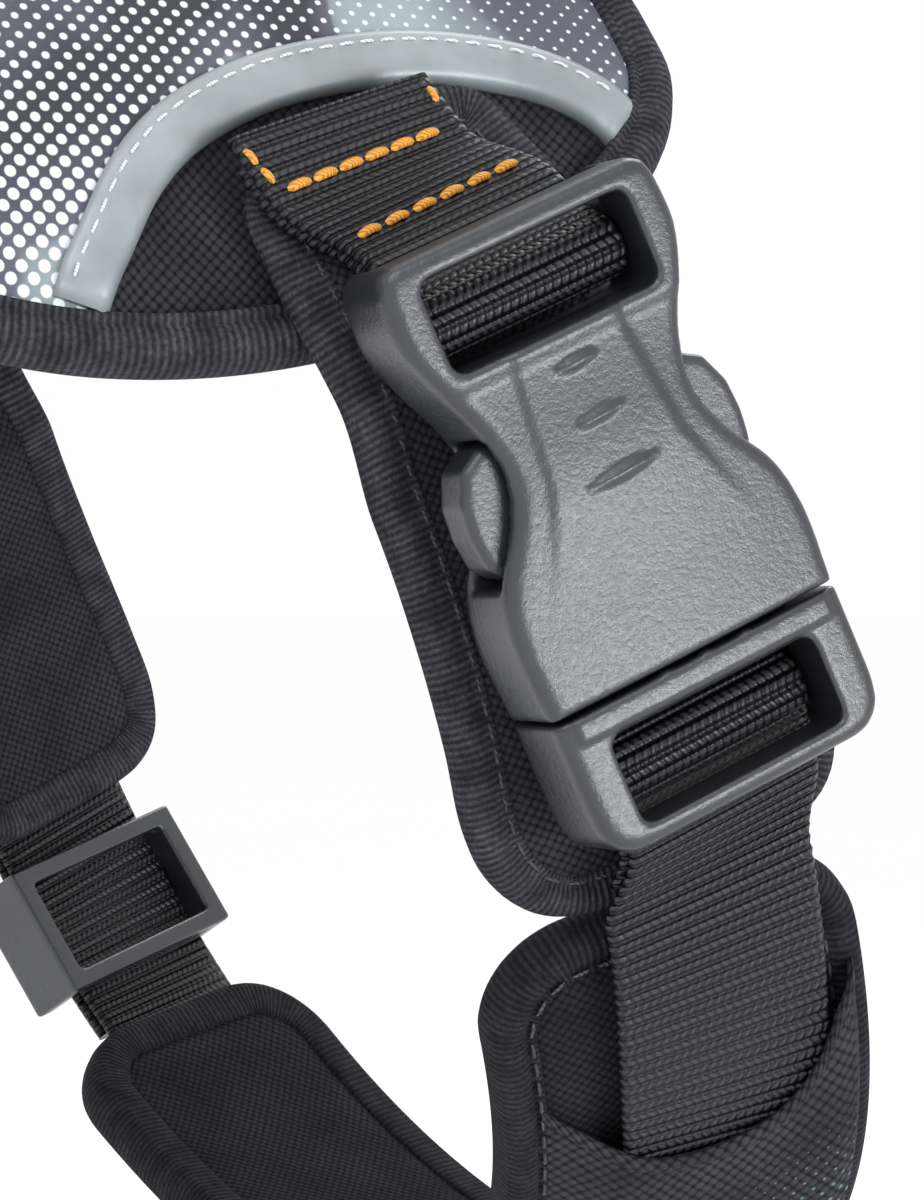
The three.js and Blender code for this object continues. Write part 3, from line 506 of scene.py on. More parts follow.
def strap(name, line, place, width=WEB_WIDTH, thickness=WEB_THICK, steps=12):
    """Ribbed webbing along a line. place takes the place across the webbing, then the line's two."""
    normal = sideways(line)
    run = run_of(line)
    half, radius = width / 2, thickness / 2
    section = [(x, 1.0) for x in np.linspace(-half + radius, half - radius, steps)]
    section += [(half - radius * 0.35, 0.72), (half, 0.0), (half - radius * 0.35, -0.72)]
    section += [(x, -1.0) for x in np.linspace(half - radius, -half + radius, steps)]
    section += [(-half + radius * 0.35, -0.72), (-half, 0.0), (-half + radius * 0.35, 0.72)]
    ribs = 0.06 * np.cos(2 * math.pi * run / RIB)
    rings = []
    for x, side in section:
        out = side * (radius + ribs * abs(side))
        spread = x + math.copysign(0.12, x) * np.cos(2 * math.pi * run / RIB) * (abs(x) > half - 0.1)
        rings.append(place(spread, line[:, 0] + normal[:, 0] * out, line[:, 1] + normal[:, 1] * out))
    widths = np.concatenate([[x for x, _ in section], [section[0][0] - 0.5]])
    return sweep(name, np.stack(rings, axis=1), run, widths)


def off_bar(frame_of, bar_y, bar_z, sign, lean, join_at, on_body):
    """The strap leaves a bar at an angle and settles on the body."""
    cosine, sine = math.cos(math.radians(lean)), math.sin(math.radians(lean))

    def place(x, d, e):
        x, d, e = np.broadcast_arrays(np.asarray(x, float), d, e)
        near = frame_of(x, bar_y + sign * (d * cosine + e * sine), bar_z - d * sine + e * cosine)
        far = on_body(x, np.maximum(d, 0), e)
        return mix(near, far, ease(d, 9, join_at)[..., None])

    return place


def stitches(name, spots, ways, outs, length, thickness, rise):
    """A row of short thread runs: each dives into the cloth at its two ends."""
    points, faces = [], []
    lengthwise = np.linspace(-1, 1, 7)
    for spot, way, out in zip(spots, ways, outs):
        side = np.cross(out, way)
        first = len(points)
        for u in lengthwise:
            size = thickness / 2 * (1 - 0.35 * u**4)
            lift = rise * (1 - u * u) - 0.25 * thickness
            for angle in np.linspace(0, 2 * math.pi, 6, endpoint=False):
                offset = side * math.cos(angle) * size + out * (math.sin(angle) * size * 0.8 + lift)
                points.append(spot + way * (u * length / 2) + offset)
        for i in range(len(lengthwise) - 1):
            for j in range(6):
                a, b = first + i * 6 + j, first + i * 6 + (j + 1) % 6
                faces.append((a, a + 6, b + 6, b))
        faces.append(tuple(first + j for j in range(5, -1, -1)))
        faces.append(tuple(first + 6 * (len(lengthwise) - 1) + j for j in range(6)))
    return make_mesh(name, np.array(points), faces)


def stitch_line(name, line, place, height, pitch, length, thickness, rise=0.25):
    """Stitches along a flat line, lying height over the body."""
    run = run_of(line)
    at = np.arange(pitch / 2, run[-1] - pitch / 3, pitch)
    spot = np.stack([np.interp(at, run, line[:, k]) for k in (0, 1)], axis=1)
    after = np.stack([np.interp(at + 0.3, run, line[:, k]) for k in (0, 1)], axis=1)
    h = level_of(height, spot)
    spots = place(spot[:, 0], spot[:, 1], h)
    ways = unit(place(after[:, 0], after[:, 1], h) - spots)
    outs = unit(place(spot[:, 0], spot[:, 1], h + 1) - spots)
    return stitches(name, spots, ways, outs, length, thickness, rise)


# ---------- hard parts: built in millimetres, then put in place ----------
def prism(name, outline, low, high):
    """A flat outline in x and y, drawn out from low to high in z."""
    bpy.ops.object.select_all(action="DESELECT")
    bpy.ops.mesh.primitive_circle_add(vertices=len(outline), radius=1, fill_type="NGON")
    piece = bpy.context.active_object
    piece.name = piece.data.name = name
    for vertex, (x, y) in zip(piece.data.vertices, outline):
        vertex.co = (x, y, low)
    bpy.ops.object.mode_set(mode="EDIT")
    bpy.ops.mesh.select_all(action="SELECT")
    bpy.ops.mesh.extrude_region_move(TRANSFORM_OT_translate={"value": (0, 0, high - low)})
    bpy.ops.mesh.select_all(action="SELECT")
    bpy.ops.mesh.normals_make_consistent(inside=False)
    bpy.ops.object.mode_set(mode="OBJECT")
    return piece


def box(name, x0, x1, y0, y1, z0, z1):
    bpy.ops.object.select_all(action="DESELECT")
    middle = ((x0 + x1) / 2, (y0 + y1) / 2, (z0 + z1) / 2)
    bpy.ops.mesh.primitive_cube_add(size=1, location=middle, scale=(x1 - x0, y1 - y0, z1 - z0))
    piece = bpy.context.active_object
    piece.name = piece.data.name = name
    bpy.ops.object.transform_apply(location=True, rotation=True, scale=True)
    return piece


def rod(name, radius, x0, x1, y, z):
    bpy.ops.object.select_all(action="DESELECT")
    middle = ((x0 + x1) / 2, y, z)
    lying = (0, math.pi / 2, 0)
    bpy.ops.mesh.primitive_cylinder_add(
        vertices=40, radius=radius, depth=x1 - x0, location=middle, rotation=lying
    )
    piece = bpy.context.active_object
    piece.name = piece.data.name = name
    bpy.ops.object.transform_apply(location=True, rotation=True, scale=True)
    return piece


def combined(body, tools, way):
    for tool in tools:
        finish_with(body, "BOOLEAN", operation=way, object=tool, solver="EXACT")
        bpy.data.objects.remove(tool)
    return body


def softened(piece, width, segments=3):
    limits = {"limit_method": "ANGLE", "angle_limit": math.radians(40)}
    finish_with(piece, "BEVEL", width=width, segments=segments, **limits)
    return piece


def moulded(piece, grain=0.45, rounds=4):
    """Gives every edge and inner corner the small radius of a moulded part."""
    finish_with(piece, "REMESH", mode="VOXEL", voxel_size=grain, use_smooth_shade=True)
    finish_with(piece, "SMOOTH", factor=0.5, iterations=rounds)
    return piece


def put_in_place(piece, place):
    to_place = place.matrix @ Matrix.Scale(MM, 4)
    piece.data.transform(to_place)
    turn_outwards(piece)
    piece.data.polygons.foreach_set("use_smooth", [True] * len(piece.data.polygons))
    piece.data.update()
    return piece


def shaped(piece, rise):
    """Lifts the points of a piece's front. rise takes local x, y and z and gives the lift."""
    co = np.empty(len(piece.data.vertices) * 3)
    piece.data.vertices.foreach_get("co", co)
    co = co.reshape(-1, 3)
    co[:, 2] += rise(co[:, 0], co[:, 1], co[:, 2])
    piece.data.vertices.foreach_set("co", co.ravel())
    return piece


def both_sides(side):
    """A right-hand edge from bottom to top, and the same edge mirrored."""
    side = np.asarray(side, float)
    return np.vstack([side, (side * [-1, 1])[::-1]])


# ---------- finishes ----------
def linear(colour):
    parts = [int(colour[i : i + 2], 16) / 255 for i in (1, 3, 5)]
    return [p / 12.92 if p <= 0.04045 else ((p + 0.055) / 1.055) ** 2.4 for p in parts] + [1.0]


def add_node(tree, kind, inputs, **settings):
    node = tree.nodes.new("ShaderNode" + kind)
    for name, value in settings.items():
        setattr(node, name, value)
    for socket, value in inputs.items():
        if isinstance(value, bpy.types.NodeSocket):
            tree.links.new(value, node.inputs[socket])
        else:
            node.inputs[socket].default_value = value
    return node


def start_finish(name, colour, roughness, **uniform):
    material = bpy.data.materials.new(name)
    material.use_nodes = True
    tree = material.node_tree
    shader = tree.nodes["Principled BSDF"]
    shader.inputs["Base Color"].default_value = linear(colour)
    shader.inputs["Roughness"].default_value = roughness
    for socket, value in uniform.items():
        shader.inputs[socket.replace("_", " ")].default_value = value
    return material, tree, shader


def cloth_place(tree):
    return add_node(tree, "UVMap", {}, uv_map="cloth").outputs["UV"]


def object_place(tree):
    return add_node(tree, "TexCoord", {}).outputs["Object"]


def calc(tree, operation, *values):
    """A sum on numbers or on other nodes' outputs."""
    return add_node(tree, "Math", dict(enumerate(values)), operation=operation).outputs[0]


def ranged(tree, value, low, high, to_low=0.0, to_high=1.0):
    ends = {"From Min": low, "From Max": high, "To Min": to_low, "To Max": to_high}
    return add_node(tree, "MapRange", {"Value": value, **ends}).outputs[0]


def noise(tree, place, scale, detail=2.0, **more):
    inputs = {"Vector": place, "Scale": scale, "Detail": detail, **more}
    return add_node(tree, "TexNoise", inputs).outputs["Fac"]


def blended(tree, factor, below, above, **settings):
    inputs = {0: factor, 6: below, 7: above}
    return add_node(tree, "Mix", inputs, data_type="RGBA", **settings).outputs[2]


def distance_from(tree, place, centre, reach):
    """How far a place is from a centre, as a share of the reach along each axis."""
    away = add_node(tree, "VectorMath", {0: place, 1: centre}, operation="SUBTRACT")
    across = add_node(tree, "VectorMath", {0: away.outputs[0], 1: reach}, operation="DIVIDE")
    return add_node(tree, "VectorMath", {0: across.outputs[0]}, operation="LENGTH").outputs["Value"]


def staggered_cells(tree, place, cell, randomness=0.0):
    """Distance from the middle of the nearest cell, with the cells' rows turned by 45 degrees."""
    turned = add_node(tree, "Mapping", {"Vector": place, "Rotation": (0, 0, math.radians(45))})
    inputs = {"Vector": turned.outputs[0], "Scale": 1 / (cell * MM), "Randomness": randomness}
    return add_node(tree, "TexVoronoi", inputs, voronoi_dimensions="2D").outputs["Distance"]


def printed_dots(tree, place, size, softness, strength=1.0):
    edge = calc(tree, "SUBTRACT", size, staggered_cells(tree, place, DOT_CELL))
    return ranged(tree, edge, -0.05, softness, 0.0, strength)


def bumped(tree, shader, height, depth, strength=1.0, under=None):
    inputs = {"Height": height, "Distance": depth * MM, "Strength": strength}
    if under is not None:
        inputs["Normal"] = under
    bump = add_node(tree, "Bump", inputs)
    tree.links.new(bump.outputs["Normal"], shader.inputs["Normal"])
    return bump.outputs["Normal"]


def two_tones(tree, factor, low, high, start=0.0, end=1.0):
    ramp = add_node(tree, "ValToRGB", {"Fac": factor})
    for element, at, tone in zip(ramp.color_ramp.elements, (start, end), (low, high)):
        element.position = at
        element.color = linear(tone)
    return ramp.outputs["Color"]


def paint(tree, shader, colour):
    tree.links.new(colour, shader.inputs["Base Color"])


def waves(pitch):
    """Radians in a metre, for a wave with this pitch in millimetres."""
    return 2 * math.pi / (pitch * MM)


def woven_webbing():
    """Nylon webbing, shuttle woven: rounded ribs across it, covered by slanted floats of glossy yarn."""
    name = "nylon webbing, ribbed weave"
    material, tree, shader = start_finish(name, "#1b1b20", 0.42, Specular_IOR_Level=0.5)
    place = cloth_place(tree)
    flat = add_node(tree, "SeparateXYZ", {0: place}).outputs
    run = calc(tree, "MULTIPLY", flat["X"], waves(RIB))
    rib = ranged(tree, calc(tree, "COSINE", run), -1.0, 0.35)
    # the floats lean one way on one rib and the other way on the next
    lean = calc(tree, "SINE", calc(tree, "MULTIPLY", run, 0.5))
    along = calc(tree, "MULTIPLY", flat["Y"], waves(FLOAT_PITCH))
    yarn = ranged(tree, calc(tree, "SINE", calc(tree, "MULTIPLY_ADD", lean, 1.6, along)), -1.0, 0.6)
    fuzz = noise(tree, place, 2200.0, 3.0)
    raised = calc(tree, "MULTIPLY_ADD", yarn, 0.35, rib)
    # the crests of the ribs and floats are painted lighter and the valleys between them darker: painted
    # shade, mottled by fuzz
    tone_mask = calc(tree, "MULTIPLY", calc(tree, "MULTIPLY", rib, yarn), fuzz)
    paint(tree, shader, two_tones(tree, tone_mask, "#050507", "#303038", 0.02, 0.62))
    under = bumped(tree, shader, raised, 0.42)
    bumped(tree, shader, fuzz, 0.07, 0.6, under)
    return material


def grosgrain(name, low, high):
    """Grosgrain tape: close ribs across the tape, dull, with thread ends in its groove."""
    material, tree, shader = start_finish(name, low, 0.85, Specular_IOR_Level=0.15)
    place = cloth_place(tree)
    # at a scale of 1, the wave texture's bands are a twentieth of a full turn apart
    scale = waves(TAPE_RIB) / 20
    inputs = {"Vector": place, "Scale": scale, "Distortion": 0.6, "Detail": 1.0, "Detail Scale": 0.3}
    look = {"wave_type": "BANDS", "bands_direction": "X", "wave_profile": "SIN"}
    ribs = add_node(tree, "TexWave", inputs, **look).outputs["Fac"]
    threads = noise(tree, place, 1700.0, 2.0, Roughness=0.7)
    tone_mask = calc(tree, "MULTIPLY", noise(tree, place, 300.0, 3.0), threads)
    # the grooves between the ribs are painted darker, as painted shade, over a mottle of threads
    blend = calc(tree, "MULTIPLY", calc(tree, "MULTIPLY_ADD", ribs, 0.6, 0.4), tone_mask)
    paint(tree, shader, two_tones(tree, blend, low, high, 0.08, 0.38))
    under = bumped(tree, shader, ribs, 0.16)
    bumped(tree, shader, threads, 0.12, 0.7, under)
    return material


def air_mesh(name, low, high, cell=0.95):
    """Knitted air mesh: small raised loops in rows with holes between, the loops painted light and the
    holes painted dark as painted shade, drawn at twice their real half-millimetre spacing so that they
    show."""
    material, tree, shader = start_finish(name, low, 0.9, Specular_IOR_Level=0.12)
    place = cloth_place(tree)
    loops = staggered_cells(tree, place, cell, 0.12)
    # loop tops painted light and the holes between them dark: painted shade in the holes
    colour = two_tones(tree, loops, high, low, 0.25, 0.62)
    paint(tree, shader, blended(tree, noise(tree, place, 90.0, 4.0), colour, linear(low)))
    bumped(tree, shader, calc(tree, "SUBTRACT", 0.75, loops), 0.3)
    return material


def halftone_print(name, centre, reach):
    """Printed polyester: a soft grey camouflage under white dots in staggered rows, which swell from
    pin points to nearly touching. centre is where they are largest, in metres of cloth."""
    material, tree, shader = start_finish(name, "#74757e", 0.72, Specular_IOR_Level=0.25)
    place = cloth_place(tree)
    # the two flanks carry the same pattern
    flat = add_node(tree, "SeparateXYZ", {0: place}).outputs
    inputs = {"X": flat["X"], "Y": calc(tree, "ABSOLUTE", flat["Y"])}
    both = add_node(tree, "CombineXYZ", inputs).outputs[0]
    patches = add_node(
        tree, "ValToRGB", {"Fac": noise(tree, both, 26.0, 2.0, Roughness=0.45, Distortion=0.9)}
    )
    steps = patches.color_ramp.elements
    steps[0].position, steps[0].color = 0.40, linear("#3c3b44")
    steps[1].position, steps[1].color = 0.47, linear("#4f505a")
    for at, tone in ((0.535, "#5c5e68"), (0.56, "#808a8f"), (0.66, "#98a3a7")):
        steps.new(at).color = linear(tone)
    near = ranged(tree, distance_from(tree, both, centre, reach), 0.0, 1.0, 0.5, 0.13)
    swell = ranged(tree, noise(tree, both, 34.0, 1.0), 0.3, 0.7, 0.75, 1.15)
    dots = printed_dots(tree, place, calc(tree, "MULTIPLY", near, swell), 0.05)
    colour = blended(tree, dots, patches.outputs["Color"], linear("#dfe6ea"))
    # plain weave shows through the print
    weave = add_node(tree, "TexChecker", {"Vector": place, "Scale": 1 / (YARN * MM)}).outputs
    paint(tree, shader, blended(tree, 0.06, colour, weave["Color"], blend_type="MULTIPLY"))
    under = bumped(tree, shader, weave["Fac"], 0.05, 0.5)
    bumped(tree, shader, noise(tree, place, 900.0), 0.12, 0.5, under)
    return material


def tinted_mesh(name, low, high, tint, centre, reach):
    """The sleeve's coarser mesh, with faint blue-green dots where its print fades out."""
    material = air_mesh(name, low, high, 1.15)
    tree = material.node_tree
    shader = tree.nodes["Principled BSDF"]
    plain = shader.inputs["Base Color"].links[0].from_socket
    place = cloth_place(tree)
    size = ranged(tree, distance_from(tree, place, centre, reach), 0.0, 1.0, 0.42, 0.0)
    paint(tree, shader, blended(tree, printed_dots(tree, place, size, 0.08, 0.8), plain, linear(tint)))
    return material


def reflective_tape():
    """Glass-bead reflective tape: pale silver, evenly satin, with a fine pebble."""
    material, tree, shader = start_finish("reflective tape, glass bead", "#a9b0b3", 0.42, Metallic=0.25)
    place = object_place(tree)
    folds = noise(tree, place, 120.0, 3.0)
    # the colour follows the folds: their hollows are painted darker and their crests lighter, as painted
    # shade
    paint(tree, shader, two_tones(tree, folds, "#868d91", "#9aa1a5", 0.3, 0.7))
    under = bumped(tree, shader, folds, 0.5, 0.3)
    bumped(tree, shader, noise(tree, place, 2400.0), 0.04, 0.5, under)
    return material


def sewing_thread(name, low, high):
    """Bonded polyester thread: twisted, so that light runs along it in short slanted streaks, painted
    into its colour as painted highlights.
    """
    material, tree, shader = start_finish(name, high, 0.5, Specular_IOR_Level=0.4)
    inputs = {"Vector": object_place(tree), "Scale": 1100.0, "Distortion": 2.0}
    twist = add_node(tree, "TexWave", inputs, bands_direction="DIAGONAL").outputs["Fac"]
    # the streaks of light along the twist are painted into the colour: painted highlight
    paint(tree, shader, two_tones(tree, twist, low, high, 0.1, 0.7))
    bumped(tree, shader, twist, 0.1)
    return material


def moulded_acetal(name, low, high, roughness):
    """Acetal, injection moulded in a spark-eroded tool: fine even grain and soft broad highlights."""
    material, tree, shader = start_finish(name, low, roughness, Specular_IOR_Level=0.85)
    place = object_place(tree)
    grain = noise(tree, place, 1500.0, 3.0, Roughness=0.7)
    paint(tree, shader, two_tones(tree, noise(tree, place, 70.0, 5.0), low, high, 0.3, 0.7))
    polish = ranged(tree, grain, 0.0, 1.0, roughness - 0.1, roughness + 0.12)
    tree.links.new(polish, shader.inputs["Roughness"])
    bumped(tree, shader, grain, 0.08, 0.9)
    return material


def anodised_aluminium():
    """Bent aluminium bar, bead blasted and anodised grey: satin, with a fine grain."""
    material, tree, shader = start_finish("anodised aluminium", "#a9adb1", 0.36, Metallic=1.0)
    place = object_place(tree)
    paint(tree, shader, two_tones(tree, noise(tree, place, 90.0, 3.0), "#8f9397", "#b7bbbf", 0.3, 0.7))
    bumped(tree, shader, noise(tree, place, 1500.0, 3.0), 0.04, 0.6)
    return material


WEBBING = woven_webbing()
TAPE = grosgrain("grosgrain tape, charcoal", "#1d1d21", "#4d4d53")
BELLY_TAPE = grosgrain("grosgrain tape, black", "#121215", "#33333a")
MESH = air_mesh("air mesh, charcoal", "#121215", "#47464c")
BELLY_MESH = air_mesh("air mesh, black", "#0d0d10", "#38373c")
PRINT = halftone_print("printed polyester, halftone", (-0.085, 0.125, 0.0), (0.095, 0.085, 1.0))
CHEST_PRINT = halftone_print("printed polyester, chest", (0.03, 0.16, 0.0), (0.06, 0.09, 1.0))
SILVER = reflective_tape()
ORANGE = sewing_thread("polyester thread, orange", "#c47c20", "#f2ac48")
WHITE = sewing_thread("polyester thread, white", "#b9bec2", "#eef1f3")
GREY = sewing_thread("polyester thread, grey", "#2c2c31", "#4a4a50")
SOCKET = moulded_acetal("acetal, dark grey moulded", "#1b1c22", "#24262d", 0.34)
PIN_PLASTIC = moulded_acetal("acetal, black moulded", "#17181b", "#202125", 0.34)
METAL = anodised_aluminium()
SLEEVE_MESH = tinted_mesh(
    "air mesh, sleeve", "#141417", "#4b4a4f", "#6f8890", (0.018, 0.092, 0.0), (0.03, 0.034, 1.0)
)


# ---------- fastening pieces to the frame ----------
def belongs(piece, body, finish, slot, *nodes):
    piece.data.materials.clear()
    piece.data.materials.append(finish)
    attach(piece, body)
    if nodes:
        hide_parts(*nodes)
    return piece


def sew(
    name, line, place, height, pitch, run=(3.0, 1.1, 0.5), thread=ORANGE, slot="webbing", body="vest"
):
    """A row of stitches. run is the length, thickness and rise of each run of thread."""
    return belongs(stitch_line(name, line, place, height, pitch, *run), body, thread, slot)


def straight_row(d, first, last):
    """A line across webbing, d along it."""
    return np.stack([np.linspace(first, last, 40), np.full(40, d)], axis=1)


def fitted(piece, node, place, body, finish, front=None):
    """Puts a moulded part in place, as the looks of a node."""
    if front is not None:
        shaped(piece, front)
    put_in_place(piece, place)
    return belongs(piece, body, finish, "buckle_plastic", node)


# ---------- saddle ----------
half_outline = [
    (20, 0), (17, 34), (14, FLANK - 54), (15.5, FLANK - 41), (16, FLANK - 33), (12, FLANK - 24)
]
half_outline += [(-2, FLANK - 12), (-26, FLANK - 3), (-48, FLANK), (-68, FLANK - 2), (-102, FLANK - 14)]
half_outline += [(-116, FLANK - 34), (-111, FLANK - 56), (-102, 38), (-106, 0)]
other_half = [(x, -s) for x, s in half_outline[-2:0:-1]]
saddle_line = spaced(half_outline + other_half, 1.5, True)
saddle_tape = edge_tape("saddle_edge_binding", saddle_line, on_torso, TAPE_UNDER, BINDING_TOP)
belongs(saddle_tape, "vest", TAPE, "binding_tape", "saddle_edge_binding")

# the arch is cut out of the printed layer on each flank, over the buckle
arch_points = [
    (-57, FLANK + 8), (-54.6, FLANK - 6), (-51.4, 103.5), (-47.4, 97.2), (-42.4, 92.3), (-33.4, 87.3)
]
arch_points += [
    (-24.6, 84.6), (-14.6, 83.1), (-5.2, 83.7), (1.0, 85.5), (5.8, 88.8), (10.5, 94.5), (14, 101)
]
arch_left = spaced(arch_points, 1.5)
ARCH_TRIM = 4.9


def flank_side(line, sign):
    return line * [1, sign]


def within_arch(flat):
    closed = np.vstack([arch_left, [(22, 160), (-62, 160)]])
    return inside(np.stack([flat[:, 0], np.abs(flat[:, 1])], axis=1), closed)


def arch_dip(flat):
    """The cover lies lower inside the arch, where nothing is sewn over it."""
    near = distance_to(np.stack([flat[:, 0], np.abs(flat[:, 1])], axis=1), arch_left, False)
    return np.where(within_arch(flat), -1.3 * ease(near, 0, 4), 0)


saddle_pad = padded_pair("saddle_pad", inset(saddle_line, 1.6), on_torso, 0.0, 4.9, 2.6, 5.0, arch_dip)
belongs(
    saddle_pad, "vest", MESH, "air_mesh", "saddle_foam_core", "saddle_mesh_lining", "saddle_mesh_cover"
)

print_line = inset(saddle_line, 2.6)
flat, faces = flat_triangles(print_line, 2.4, [arch_left[3:-3], flank_side(arch_left, -1)[3:-3]])
faces = faces[~within_arch(flat[faces].mean(axis=1))]
print_rise = 5.35 + 0.75 * ease(distance_to(flat, print_line), 1.5, 9)
print_rise += 0.1 * np.sin(flat[:, 0] / 9) * np.sin(flat[:, 1] / 11)
saddle_print = printed_sheet("saddle_print_panel", flat, faces, on_torso, print_rise)
belongs(saddle_print, "vest", PRINT, "print_fabric", "saddle_print_panel")

trims = []
for side, sign in (("left", 1), ("right", -1)):
    line = flank_side(arch_left, sign)
    from_edge = distance_to(line, saddle_line)
    line = line[inside(line, saddle_line) & (from_edge > 4.2)]
    from_edge = distance_to(line, saddle_line)
    # outwards from the arch's edge, over the print
    away = sideways(line)
    if within_arch(line + away * 2).mean() > 0.5:
        away = -away
    settle = ease(from_edge, 4.0, 8.0)
    section = [
        (-0.9, 4.6), (-1.15, 5.3), (-1.1, 6.2), (-0.6, 6.95), (0.4, 7.25), (2.4, 7.15), (4.2, 7.0)
    ]
    section += [
        (ARCH_TRIM, 6.75), (ARCH_TRIM + 0.1, 6.4), (ARCH_TRIM, 6.15), (2.0, 6.1), (0.0, 5.2),
        (-0.5, 4.4),
    ]
    rings = []
    for out, height in section:
        flat_line = line + away * out
        rings.append(on_torso(flat_line[:, 0], flat_line[:, 1], mix(height - 1.15, height, settle)))
    around = np.concatenate([[0], np.cumsum(np.hypot(*np.diff(section + section[:1], axis=0).T))])
    trim = sweep("reflective_trim_" + side, np.stack(rings, axis=1), run_of(line), around)
    belongs(trim, "vest", SILVER, "reflective_tape", "reflective_trim_" + side)
    sewn_line = (line + away * 3.5)[from_edge > 5.5]
    name = "reflective_trim_stitches_" + side
    sewn = sew(name, sewn_line, on_torso, 7.12, 2.5, (1.75, 0.42, 0.16), WHITE, "reflective_tape")
    trims += [trim, sewn]

# ---------- guards behind the buckle and the strap loop ----------
guard_points = [
    (-15, -66), (-17.2, -58), (-17.5, -44), (-17.6, -31), (-18.4, -21.5), (-19.6, -11), (-21.2, 2)
]
guard_points += [
    (-22.6, 12.5), (-22.0, 19), (-19, 25), (-14, 28.2), (0, 28.8), (12.5, 28.2), (18, 25), (20.6, 19)
]
guard_points += [(20.8, 10), (19.6, -8), (18.2, -28), (17.6, -56), (15, -66), (0, -68)]
guard_line = spaced(guard_points, 1.3, True)
for side, hoop in (("left", on_hoop), ("right", on_right_hoop)):
    tape = edge_tape(
        "guard_binding_" + side,
        guard_line,
        hoop,
        lambda flat: guard_from(flat[:, 1]) - 0.2,
        lambda flat: guard_top(flat[:, 1]) + 0.3,
    )
    belongs(tape, "vest", TAPE, "binding_tape", "guard_binding_" + side)
    pad = padded_pair(
        "guard_pad_" + side,
        inset(guard_line, 2.0),
        hoop,
        lambda flat: guard_from(flat[:, 1]),
        lambda flat: guard_top(flat[:, 1]),
        2.0,
        6.0,
        lambda flat: 0.25,
        0.5,
    )
    belongs(pad, "vest", MESH, "air_mesh", "guard_pad_" + side)
    sew(
        "guard_stitches_" + side,
        inset(guard_line, SEWN_IN),
        hoop,
        lambda spot: guard_top(spot[:, 1]) + 0.22,
        3.0,
        (1.9, 0.45, 0.14),
        GREY,
        "binding_tape",
    )

# ---------- webbing tabs ----------
TAB_END, TAB_DRIFT, TAB_TWIST, BAR_ON_HOOP = 33.0, -3.4, 0.13, -39.2


def under_tab(x, d, e):
    t = BAR_ON_HOOP - 0.95 * d
    settle = ease(d, 0, TAB_END)
    return on_hoop(
        x + TAB_DRIFT * settle, t + TAB_TWIST * x * settle, guard_top(t) + GAP + BOTH_LAYERS + e
    )


tab_place = off_bar(in_buckle, *HOUSING_BAR, 1, 40, 24, under_tab)
tab = strap("tab_webbing_left", bar_loop(BAR, TAB_END - 1.2, TAB_END - 4.2), tab_place)
belongs(tab, "vest", WEBBING, "webbing", "tab_webbing_left")

tab_surface = BOTH_LAYERS / 2 + WEB_THICK / 2
for number, (d, first, last) in enumerate(((24.6, -10.2, 9.0), (14.2, -10.4, 10.4))):
    row = straight_row(d, first, last)
    sew(
        f"tab_stitches_{number + 1}", row, tab_place, tab_surface, (last - first) / 6, (3.0, 1.15, 0.62)
    )
edges = [[(-11.6, 30.4), (-10.8, 25.4)], [(11.2, 30.2), (10.8, 26.0)]]
for number, ends in enumerate(edges):
    row = resampled(np.array(ends, float), 0.6)
    sew(f"tab_edge_stitches_{number + 1}", row, tab_place, tab_surface, 2.5, (2.1, 0.9, 0.35))


def under_side_tab(x, d, e):
    t = -LOOP_HEIGHT - d
    return on_right_hoop(x, t, np.maximum(guard_top(t) + GAP + BOTH_LAYERS, SIDE_HEIGHT) + e)


side_tab_place = off_bar(in_side_loop, LOOP_HEIGHT, 0, 1, 0, 16, under_side_tab)
side_tab = strap("tab_webbing_right", bar_loop(LOOP_BAR, 56, 52), side_tab_place)
belongs(side_tab, "vest", WEBBING, "webbing", "tab_webbing_right")
for number, d in enumerate((22.0, 40.0)):
    sew(f"side_tab_stitches_{number + 1}", straight_row(d, -10, 10), side_tab_place, tab_surface, 3.3)

# ---------- side-release buckle ----------
STRAP_GAP = WEB_WIDTH / 2 + 0.55
housing_side = [(BUCKLE_HALF, 0), (18.25, 9), (17.0, 14.5), (13.4, 20.2), (11.7, 25.0), (12.6, 30.5)]
housing_side = spaced(housing_side + [(15.3, 36.6), (17.1, 42), (16.9, 47.4)], 1.2)
housing_side = np.vstack([[(BUCKLE_HALF, -4)], housing_side, [(16.2, 49.2), (14.8, 50)]])
housing = prism("buckle_housing", both_sides(housing_side), -BUCKLE_THICK / 2, BUCKLE_THICK / 2)
softened(housing, 1.5, 3)
cavity_side = [
    (16.2, -1), (16.0, 3), (13.4, 11.4), (13.4, 14.4), (24, 14.4), (24, 29.6), (9.9, 29.6), (9.3, 31.5)
]
hollow = prism("hollow", both_sides(cavity_side), -4.25, 4.25)
window = prism("window", rounded_box(-12.7, 12.7, 36.9, 47.4, 1.3, 0.8), -9, 9)
back = box("back", -14.05, 14.05, 46.4, 51, -12.5, -0.6)
mouth_cut = box("mouth cut", -30, 30, -9, 0, -20, 20)
combined(housing, [hollow, window, back, mouth_cut], "DIFFERENCE")
combined(housing, [rod("rod", BAR, -13.6, 13.6, *HOUSING_BAR)], "UNION")
moulded(housing, 0.42, 4)


